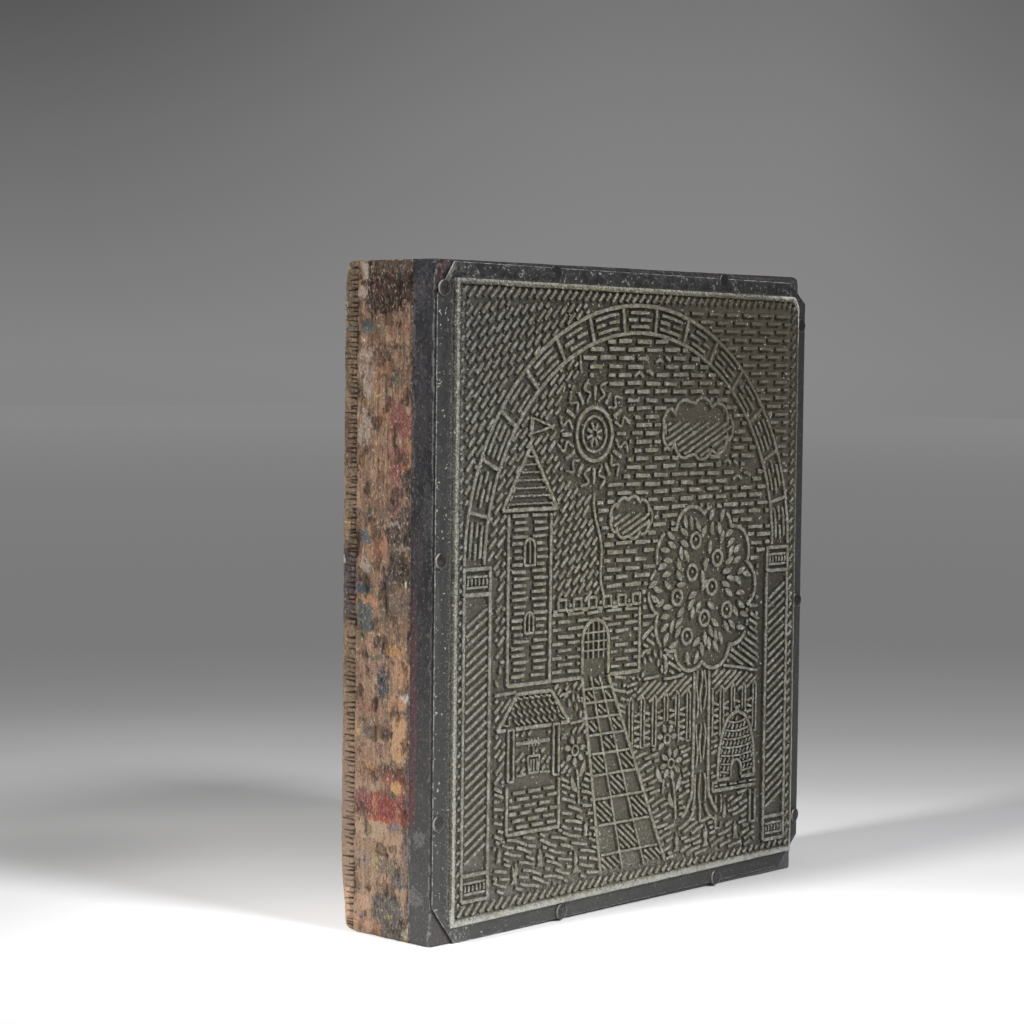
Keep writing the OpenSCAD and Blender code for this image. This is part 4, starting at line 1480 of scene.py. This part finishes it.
def coreDents(y, z, seed):  # furrows, pores, chips and pits: how steep over y and z, own seed
    furrows, pores, chips, small, pits = (
        noise.noise(Vector((y * a, z * b, seed + n)))
        for a, b, n in ((1.3, 0.16, 0), (2.8, 0.6, 2), (0.42, 0.3, 5), (1.6, 1.3, 6), (1.5, 1.2, 7))
    )
    deep = 0.2 * max(0, furrows - 0.05) + 0.12 * max(0, pores)
    return deep + 0.16 * max(0, min(1, (chips + 0.3 * small - 0.16) * 8)) + 0.1 * max(0, pits)


def makePly(name, finish, stains, seed):
    front, back, across, cuts = mountSettings["plies"][name]
    sideSteps, upSteps = mountSettings["spacing"][across]
    xs, zs = spaced(-mountSide, mountSide, *sideSteps), spaced(0, mountHead, *upSteps)
    raw, faces = latticeBox(xs, spaced(front, back, *mountSettings["depthSpacing"]), zs)
    ticks = {s: sawTicks(seed + (s > 0), *cuts) if cuts else [] for s in (-1, 1)}
    points, recessShades = [], []
    for p in raw:
        x, y, z = p
        place, deep = rounded(p), 0.0
        if abs(x) >= mountSide - 0.01:
            side = 1 if x > 0 else -1
            deep = cutDepth(ticks[side], y, z) + boardDents(y, z, seed) if across else coreDents(y, z, seed)
            nearest = min(abs(y - front), abs(y - back))
            if nearest < 0.12 and mountLow[1] + 0.1 < y < mountBack - 0.15:  # beside a glue line
                deep += 0.22 * max(0, wobble(y * 0.1, z, 0.7, seed + 9))
            place = place + np.array((-side * deep, 0, 0))
        if z <= 0.001 or z >= mountHead - 0.001:
            end = 0.07 * max(0, wobble(x, y, 1.2, seed + 11))
            end += 0.12 * max(0, wobble(x * 0.2, y, 0.9, seed + 13))
            place = place - np.array((0, 0, end * (z > 1)))
            deep += end * 0.6
        if y >= mountBack - 0.001:
            rough = 0.06 * max(0, noise.noise(Vector((x * 0.12, z * 1.3, seed + 15))))
            rough += 0.06 * max(0, wobble(x, z, 0.2, seed + 17))
            place = place - np.array((0, rough, 0))
            deep += rough
        points.append(place)
        # how deep each point is cut in, kept for the painted shade in the recesses
        recessShades.append(min(1, max(0, deep - 0.07) * 4.5))
    paint, cover = paintSides(raw, stains, not across, seed)
    return setFaces(name, points, faces, finish, {"depth": recessShades, "paint": paint, "cover": cover})


# stains of the left side, from the head down, and in the front ply's rows at y -9.75 a painted highlight
# along the front arris: y, z, half widths, sRGB tone, strength, raggedness
pale, soot, rust = (176, 165, 154), (62, 57, 56), (144, 74, 72)
coreStains = [
    (-4.75, 57.0, 0.75, 60.0, (72, 65, 62), 0.85, 0.9), (1.1, 110.6, 6.3, 4.6, (47, 37, 32), 0.97, 0.6),
    (-3.5, 112.0, 1.9, 5.0, (58, 47, 42), 0.92, 0.5), (2.9, 110.0, 2.1, 1.1, (74, 44, 42), 0.8, 0.7),
    (-0.4, 113.8, 4.5, 0.8, (92, 82, 72), 0.7, 0.9), (6.7, 113.0, 0.9, 1.2, pale, 0.85, 1.1),
    (7.1, 109.4, 1.0, 1.1, pale, 0.85, 1.1), (5.6, 107.5, 0.75, 0.85, (72, 54, 64), 0.85, 0.6),
    (6.1, 103.8, 1.8, 0.95, (70, 88, 92), 0.95, 0.4), (7.0, 101.6, 0.4, 0.4, (224, 216, 204), 0.9, 0.3),
    (0.5, 104.3, 1.8, 1.3, (142, 96, 80), 0.6, 0.9), (-3.0, 103.4, 1.5, 1.1, (138, 86, 78), 0.6, 0.9),
    (2.9, 103.0, 1.5, 1.3, (112, 98, 74), 0.6, 0.9), (0.2, 100.5, 5.0, 0.25, (78, 68, 58), 0.8, 0.6),
    (1.0, 99.0, 0.6, 0.85, (70, 62, 54), 0.8, 0.6), (-3.0, 99.4, 0.6, 1.1, (80, 74, 66), 0.75, 0.6),
    (6.5, 99.2, 1.8, 1.1, pale, 0.6, 1.3), (6.2, 95.8, 1.8, 1.5, pale, 0.6, 1.3),
    (5.9, 93.0, 1.5, 1.3, pale, 0.6, 1.3), (6.6, 86.8, 1.7, 3.0, pale, 0.6, 1.3),
    (2.0, 97.1, 1.8, 1.1, (164, 112, 80), 0.75, 0.8), (3.5, 93.7, 0.9, 1.3, (156, 112, 80), 0.7, 0.7),
    (2.0, 88.4, 1.8, 1.4, (164, 112, 78), 0.7, 0.9), (1.1, 95.1, 0.6, 0.3, (78, 48, 40), 0.85, 0.4),
    (-1.0, 95.0, 1.8, 1.3, (105, 98, 84), 0.7, 0.9), (3.5, 91.9, 0.9, 0.28, (206, 168, 78), 0.95, 0.3),
    (-0.4, 90.5, 2.1, 1.3, (128, 76, 70), 0.8, 0.8), (-2.5, 87.6, 2.7, 2.6, rust, 0.85, 0.8),
    (-3.7, 90.5, 0.75, 1.3, (188, 152, 116), 0.75, 0.5), (-1.3, 82.7, 2.1, 1.3, (142, 84, 80), 0.75, 0.8),
    (-1.0, 79.3, 1.35, 1.7, rust, 0.8, 0.7), (-1.3, 76.7, 1.5, 1.5, (142, 90, 90), 0.75, 0.8),
    (-1.0, 73.3, 1.2, 1.5, (120, 70, 80), 0.8, 0.7), (-4.1, 82.7, 0.75, 2.1, (184, 122, 84), 0.85, 0.5),
    (-3.1, 80.1, 1.2, 0.4, (180, 106, 70), 0.85, 0.4), (2.6, 83.5, 1.2, 0.65, (132, 94, 70), 0.6, 0.8),
    (3.8, 74.2, 1.8, 0.85, (132, 96, 70), 0.6, 0.8), (3.2, 81.3, 0.42, 0.3, (66, 48, 40), 0.9, 0.3),
    (-3.7, 77.4, 1.4, 2.2, soot, 0.85, 0.9), (-3.1, 72.5, 1.5, 1.3, (74, 62, 66), 0.85, 0.8),
    (-1.3, 68.8, 3.4, 2.9, soot, 0.92, 0.9), (-0.7, 70.4, 1.8, 0.4, pale, 0.75, 1.0),
    (-2.5, 66.5, 2.1, 0.3, pale, 0.75, 0.9), (-1.0, 64.6, 1.8, 1.3, (72, 76, 66), 0.85, 0.7),
    (-1.3, 62.3, 3.3, 2.1, soot, 0.9, 0.9), (-3.4, 60.9, 0.42, 0.53, (206, 200, 196), 0.95, 0.4),
    (1.1, 60.0, 1.5, 1.1, (80, 62, 75), 0.8, 0.7), (4.7, 72.1, 3.6, 0.85, (112, 100, 88), 0.7, 0.9),
    (6.1, 68.0, 1.2, 1.3, (80, 98, 108), 0.85, 0.6), (2.9, 66.3, 1.95, 1.9, (176, 120, 92), 0.95, 0.3),
    (6.2, 63.2, 1.5, 1.3, pale, 0.55, 1.3), (6.5, 59.3, 1.8, 0.95, (64, 82, 92), 0.95, 0.4),
    (7.7, 60.8, 0.75, 0.65, (70, 60, 72), 0.8, 0.6), (7.6, 56.9, 0.45, 0.42, (58, 88, 68), 0.9, 0.4),
    (5.0, 57.2, 1.8, 0.75, (190, 132, 90), 0.85, 0.5), (-0.9, 57.0, 3.4, 3.0, (98, 87, 79), 0.78, 1.1),
    (6.1, 54.4, 1.9, 2.5, (70, 88, 94), 0.9, 0.5), (6.6, 51.2, 0.6, 0.53, (84, 104, 60), 0.8, 0.4),
    (2.9, 50.6, 1.2, 1.1, (68, 62, 58), 0.85, 0.5), (1.6, 49.1, 0.45, 1.1, soot, 0.85, 0.5),
    (-1.2, 49.1, 2.4, 0.85, (190, 138, 84), 0.85, 0.5), (3.8, 47.9, 2.5, 0.38, (82, 92, 84), 0.85, 0.5),
    (-1.2, 47.4, 1.2, 0.32, (78, 84, 76), 0.85, 0.5), (1.6, 43.6, 1.2, 2.8, (62, 70, 80), 0.95, 0.45),
    (3.2, 43.6, 0.3, 0.85, (194, 184, 178), 0.8, 0.5), (5.0, 46.0, 2.8, 1.1, (154, 116, 106), 0.6, 0.8),
    (5.0, 39.0, 2.8, 1.3, (154, 100, 84), 0.65, 0.9), (5.3, 37.1, 2.5, 0.6, (118, 104, 80), 0.6, 0.9),
    (-2.7, 45.3, 1.9, 2.5, (186, 138, 102), 0.85, 0.4), (-1.8, 40.2, 2.1, 1.3, (190, 138, 102), 0.85, 0.4),
    (-2.0, 34.3, 2.1, 3.8, (194, 148, 106), 0.9, 0.35), (-3.8, 41.4, 0.9, 0.6, (206, 196, 190), 0.85, 0.6),
    (-2.4, 38.7, 2.5, 0.3, (98, 78, 74), 0.75, 0.5), (0.7, 35.3, 1.0, 1.9, (96, 82, 74), 0.75, 0.7),
    (5.7, 34.9, 1.2, 0.85, (132, 122, 118), 0.7, 0.7), (7.7, 34.7, 0.6, 0.85, (194, 158, 100), 0.7, 0.6),
    (6.6, 31.1, 3.1, 1.3, (154, 116, 90), 0.6, 0.9), (2.5, 31.8, 0.75, 1.3, (110, 74, 80), 0.75, 0.7),
    (1.0, 28.2, 6.2, 1.3, (122, 76, 62), 0.8, 0.8), (4.4, 29.0, 1.5, 0.53, (194, 142, 80), 0.8, 0.6),
    (0.4, 28.6, 1.9, 1.1, (78, 64, 54), 0.8, 0.8), (-4.3, 29.0, 0.6, 1.9, (62, 62, 70), 0.9, 0.4),
    (0.35, 22.6, 5.6, 2.5, (134, 56, 54), 0.94, 0.45), (6.6, 23.0, 1.8, 2.1, (120, 68, 70), 0.88, 0.5),
    (-1.7, 26.2, 3.0, 2.1, (140, 78, 66), 0.85, 0.8), (-1.6, 26.0, 1.1, 1.1, (196, 150, 92), 0.85, 0.5),
    (3.3, 22.8, 0.6, 1.7, (184, 118, 84), 0.8, 0.6), (-2.3, 21.4, 0.9, 1.3, (176, 104, 74), 0.8, 0.6),
    (-0.7, 24.7, 1.2, 0.75, (76, 66, 56), 0.85, 0.5), (-4.1, 23.7, 0.75, 1.3, (64, 56, 62), 0.85, 0.5),
    (0.35, 20.2, 5.2, 0.35, (168, 72, 56), 0.9, 0.2), (4.2, 18.2, 4.2, 1.7, (168, 142, 114), 0.9, 0.3),
    (-0.6, 16.1, 2.7, 2.1, (166, 134, 106), 0.9, 0.4), (-1.5, 19.2, 1.8, 0.53, (108, 100, 112), 0.85, 0.5),
    (-4.0, 16.5, 0.75, 3.2, (98, 92, 98), 0.8, 0.7), (6.3, 13.1, 1.8, 1.3, (140, 122, 118), 0.7, 0.8),
    (3.3, 12.9, 0.9, 1.3, (168, 148, 100), 0.7, 0.7), (-0.3, 12.2, 3.0, 1.5, (94, 90, 78), 0.75, 1.1),
    (0.0, 9.7, 1.5, 1.1, (168, 128, 112), 0.7, 0.8), (-2.4, 10.3, 1.8, 1.7, (74, 82, 88), 0.85, 0.7),
    (0.35, 5.0, 3.9, 2.8, (76, 80, 80), 0.9, 0.6), (-0.9, 1.9, 3.6, 2.3, (78, 80, 76), 0.9, 0.6),
    (0.0, 3.9, 1.2, 0.25, (134, 128, 58), 0.85, 0.4), (-3.9, 1.6, 1.2, 0.85, (194, 188, 162), 0.75, 1.2),
    (5.5, 5.0, 1.5, 1.7, (184, 142, 116), 0.8, 0.6), (6.4, 1.9, 2.1, 0.85, (190, 138, 106), 0.8, 0.6),
    (6.6, 2.7, 0.5, 0.35, (68, 104, 150), 0.95, 0.3), (2.8, 1.3, 1.0, 0.75, (174, 110, 74), 0.8, 0.5),
]
backStains = [
    (11.7, 60.0, 0.5, 56.0, (152, 142, 110), 0.6, 1.2), (10.2, 109.5, 1.8, 5.0, (88, 76, 62), 0.6, 1.1),
    (11.3, 113.8, 0.9, 0.7, (180, 162, 94), 0.8, 0.6), (11.5, 106.0, 0.5, 4.0, (186, 172, 150), 0.6, 1.2),
    (10.1, 103.8, 1.6, 0.65, (86, 98, 88), 0.6, 0.7), (10.6, 70.7, 0.7, 0.3, (242, 208, 122), 1.0, 0.2),
    (9.9, 61.3, 2.2, 4.8, (62, 60, 70), 0.85, 0.7), (11.5, 64.2, 0.3, 0.9, (202, 200, 196), 0.85, 0.6),
    (9.9, 56.0, 2.2, 1.6, (76, 70, 76), 0.75, 0.7), (9.2, 57.5, 0.54, 0.25, (218, 88, 72), 0.95, 0.2),
    (10.2, 29.0, 2.2, 3.0, (152, 120, 104), 0.6, 0.8), (10.4, 22.0, 2.0, 4.0, (148, 122, 106), 0.6, 0.8),
    (10.3, 9.5, 2.0, 3.5, (162, 138, 114), 0.6, 0.8), (10.8, 4.2, 1.6, 3.4, (208, 162, 132), 0.85, 0.6),
    (10.2, 76.0, 1.7, 3.6, (158, 132, 110), 0.55, 0.9),
]
frontStainsAndHighlight = [
    (-5.6, 40.0, 0.95, 19.0, (94, 60, 66), 0.8, 0.8), (-6.4, 66.0, 1.5, 6.0, (76, 64, 68), 0.5, 1.0),
    (-5.5, 24.0, 1.0, 3.0, (104, 60, 58), 0.7, 0.8), (-7.2, 18.0, 1.4, 1.3, (112, 111, 107), 0.6, 1.0),
    (-6.3, 8.2, 1.8, 1.6, (112, 110, 106), 0.6, 1.0), (-4.95, 8.0, 0.25, 9.0, (152, 148, 138), 0.5, 1.0),
    # the rows at y -9.75 paint a light band on the front arris: worn wood and a painted highlight
    (-7.0, 87.0, 1.6, 5.0, (72, 66, 66), 0.5, 1.0), (-9.75, 90.0, 0.22, 26.0, (128, 127, 126), 0.75, 0.9),
    (-9.75, 40.0, 0.2, 30.0, (112, 111, 110), 0.6, 1.2), (-9.75, 8.0, 0.25, 8.0, (132, 131, 128), 0.6, 1.1),
    (-5.2, 104.0, 0.35, 6.0, (110, 106, 108), 0.6, 1.3), (-5.1, 84.0, 0.35, 9.0, (118, 112, 110), 0.6, 1.3),
    (-6.5, 97.0, 1.6, 4.0, (76, 70, 78), 0.5, 1.0), (-6.4, 110.0, 1.4, 3.0, (84, 82, 88), 0.5, 1.0),
    (-8.4, 74.0, 1.0, 5.0, (84, 84, 84), 0.45, 1.2),
]


def makeWoodFinish(name, light, dark, foot, across, pits, flecks, roughness, knocked=None):
    m = Finish(bpy.data.materials.new(name))
    x, y, z = m.parts(m.place)

    def grained(perMillimetre, rough, acrossShare, upShare, detail):
        scale = (acrossShare, 1, 1) if across else (1, 1, upShare)
        return m.noise(perMillimetre, detail, rough, m.stretched(scale))

    fibre = grained(1.7, 0.66, 0.07, 0.09, 5)
    pores = grained(3.0, 0.66, 0.3, 0.34, 3)
    smear = grained(0.05, 0.66, 0.5, 0.5, 5)
    chips = m.noise(1.7, 4, 0.74, m.stretched((1, 1, 0.7)))
    drops = m.noise(0.13, 5, 0.7, m.stretched((1, 1, 1), (0.2, 0.1, 0.4)))
    rows = [
        (m.noise(0.16, 4, 0.62), 0.44, 0.6, 0.55, [0.76 * c for c in dark]),
        (m.noise(0.34, 4, 0.66), 0.53, 0.64, 0.5, [1.14 * c for c in light]),
    ]
    colour = m.coats(m.between(fibre, 0.36, 0.62, dark, light), rows)
    # painted light: the foot tone takes over towards the foot, standing for light bounced up from the floor
    colour = m.coat(colour, foot, m.span(z, 0.062, 0.0, (0, 0.6), smooth=False))
    if knocked:  # bare wood at the knocked corner of the head
        bare = m.times(m.span(y, -0.0098, -0.00998), m.span(z, 0.09, 0.105, (0.3, 0.75)))
        colour = m.coat(colour, knocked, m.times(bare, m.span(x, -0.0435, -0.046)), m.span(chips, 0.44, 0.56))
    unseen = m.times(m.span(x, -0.0493, -0.0485), m.span(y, -0.0098, -0.0096))  # the hidden sides
    smeared = m.times(unseen, m.span(smear, 0.5, 0.6))
    colour = m.coat(colour, (54, 49, 48), smeared, m.span(fibre, 0.3, 0.5, (0.35, 0.85)))
    colour = m.coat(colour, (112, 70, 64), unseen, m.span(drops, 0.64, 0.67), 0.7)
    colour = m.coat(colour, (66, 80, 88), unseen, m.span(drops, 0.37, 0.34), 0.8)
    colour = m.coat(colour, [1.25 * c for c in light], unseen, m.span(smear, 0.4, 0.33), 0.5)
    cover = m.painted("cover")
    colour = m.mix(m.times(cover, m.span(pores, 0.36, 0.5, (0.5, 1))), colour, m.painted("paint", "Color"))
    ridge = m.math("ABSOLUTE", m.math("SUBTRACT", m.noise(0.85, 4, 0.62, m.stretched((1, 1, 0.7))), 0.5))
    scuffed = m.times(cover, m.span(z, 0.108, 0.104, (0.35 * flecks, 0.7 * flecks)))
    colour = m.coat(colour, (158, 144, 132), m.span(ridge, 0.02, 0.004), scuffed)
    rows = [(chips, 0.56, 0.64, flecks, (200, 188, 172)), (pores, 0.56, 0.68, pits, (46, 37, 32))]
    # painted shade: darker where the side is cut, dented or roughened deeper
    colour = m.coat(m.coats(colour, rows), (34, 27, 23), m.painted("depth"), 0.85)
    colour = m.mix(1.0, colour, m.span(m.noise(3.6, 3, 0.7), 0.3, 0.7, (0.72, 1.24)), "MULTIPLY")
    return m.finish(colour, roughness, 0.0, 0.2, m.bump(pores, 0.22, 0.8, m.bump(fibre, 0.25, 0.7)))


# light and dark tones, foot tone (painted light towards the foot), grain across, pits, flecks, roughness,
# tone of the knocked corner
inkedPly = ((66, 65, 68), (44, 44, 48), (106, 105, 102), True, 0.5, 0.2, 0.62, (108, 80, 78))
paintedCore = ((164, 133, 110), (116, 92, 76), (196, 166, 142), False, 0.8, 0.6, 0.85)
bareBack = ((146, 124, 102), (98, 81, 65), (204, 172, 148), True, 0.6, 0.35, 0.85)
woods = {
    "frontPly": (frontStainsAndHighlight, "inkedPlyWood", *inkedPly),
    "corePly": (coreStains, "paintedCoreWood", *paintedCore),
    "backPly": (backStains, "bareBackWood", *bareBack),
}
plies = {}
for k, (name, (stains, *wood)) in enumerate(woods.items()):
    plies[name] = makePly(name, makeWoodFinish(*wood), stains, mountSettings["seed"] + 7 * k)
print("mount made:", {name: len(p.data.polygons) for name, p in plies.items()})


# the brads

bradSettings = {
    "headRadius": 1.375,
    "headThickness": 0.4,
    "shankRadius": 0.5,
    "length": 12.0,
    "point": 1.5,  # length of the pointed end
    "seat": 10.9,  # height of the flange under the heads
    "count": 40,  # points round a ring
    "wear": {3: 0.15, 4: 0.72, 5: 0.5, 6: 0.2},  # wear and painted highlight of the rings of the head's edge
    # x, z, sunk (mm), tilt about x and z (degrees)
    "places": [
        (-48.8, 110.2, 0.14, 1.0, -2.0),
        (-49.15, 65.0, 0.0, 0.5, 1.0),
        (-49.15, 21.0, 0.05, -1.0, 1.0),
        (49.3, 105.6, 0.1, 1.0, 2.0),
        (49.3, 52.6, 0.02, 1.0, -1.5),
        (49.6, 10.6, -0.12, 2.0, 9.0),
        (-18.1, 1.7, 0.03, 1.0, 0.0),
        (25.6, 1.7, 0.18, -1.0, 1.0),
        (-21.2, 113.5, 0.36, 4.0, -8.0),
        (25.4, 113.5, 0.24, 0.0, 2.0),
    ],
}


def makeBrad(s):
    r, t, shank, length = (s[k] for k in ("headRadius", "headThickness", "shankRadius", "length"))
    rings = [(0.0, t + 0.02), (r * 0.35, t + 0.015), (r * 0.7, t - 0.01), (r * 0.9, t - 0.035)]
    rings += [(r * 0.975, t - 0.09), (r, t - 0.17), (r, 0.05), (r * 0.97, 0.0), (shank * 1.25, -0.02)]
    rings += [(shank, -0.15), (shank, s["point"] - length), (shank * 0.5, s["point"] * 0.5 - length)]
    rings += [(0.0, -length)]
    count = s["count"]
    points, wornAndLit, rows, faces = [], [], [], []
    for ring, (radius, height) in enumerate(rings):
        rows.append([])
        for k in range(count if radius else 1):
            a = 2 * pi * k / count
            out = radius * (1 + 0.018 * sin(3 * a + 1) + 0.012 * sin(7 * a))
            rows[-1].append(len(points))
            points.append((out * cos(a), out * sin(a), height))
            wornAndLit.append(s["wear"].get(ring, 0) * (0.6 + 0.4 * sin(a * 2 + 2)))
    for a, b in zip(rows, rows[1:]):
        for k in range(count):
            n = (k + 1) % count
            if len(a) == 1:
                faces.append((a[0], b[k], b[n]))
            elif len(b) == 1:
                faces.append((a[k], b[0], a[n]))
            else:
                faces.append((a[k], b[k], b[n], a[n]))
    return setFaces("bradPattern", points, faces, bradFinish, {"wear": wornAndLit})


def makeBrads(s):
    pattern = makeBrad(s)
    r = Recipe("placedBrads", {"Brad": "Object", "Finish": "Material"})
    source = r.add("GeometryNodeObjectInfo", {"Object": r.given["Brad"]})["Geometry"]
    points = r.step("MeshToPoints", {"Mesh": r.given["Geometry"]})
    inputs = {"Points": points, "Instance": source, "Rotation": r.named("turn", "FLOAT_VECTOR")}
    r.end(r.step("InstanceOnPoints", inputs))
    mesh = bpy.data.meshes.new("bradHeads")
    places, turns = [], []
    for x, z, sunk, aboutX, aboutZ in s["places"]:
        places.append((x * millimetre, -(s["seat"] - sunk) * millimetre, z * millimetre))
        turns.append((radians(90 + aboutX), 0.0, radians(aboutZ)))
    mesh.from_pydata(places, [], [])
    mark(mesh, "turn", turns)
    made = grow(linkNew("bradHeads", mesh), r, {"Brad": pattern, "Finish": bradFinish})
    bpy.data.objects.remove(pattern)
    return made


brads = makeBrads(bradSettings)
print("brads made:", len(brads.data.polygons))


# pieces and the body they ride on; their frame parts are hidden, and the slot names are listed but not used

rides = [
    (plate, "inked_metal", "relief_plate"),
    *[(piece, "inked_metal", "relief_plate") for piece in reliefPieces],
    (plies["frontPly"], "inked_wood", "front_ply"),
    (plies["corePly"], "painted_wood", "core"),
    (plies["backPly"], "bare_wood", "back_ply"),
    (brads, "brad_iron", "brads"),
]
for piece, slotName, node in rides:
    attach(piece, "root")
    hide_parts(node)

print("all pieces ride on root")
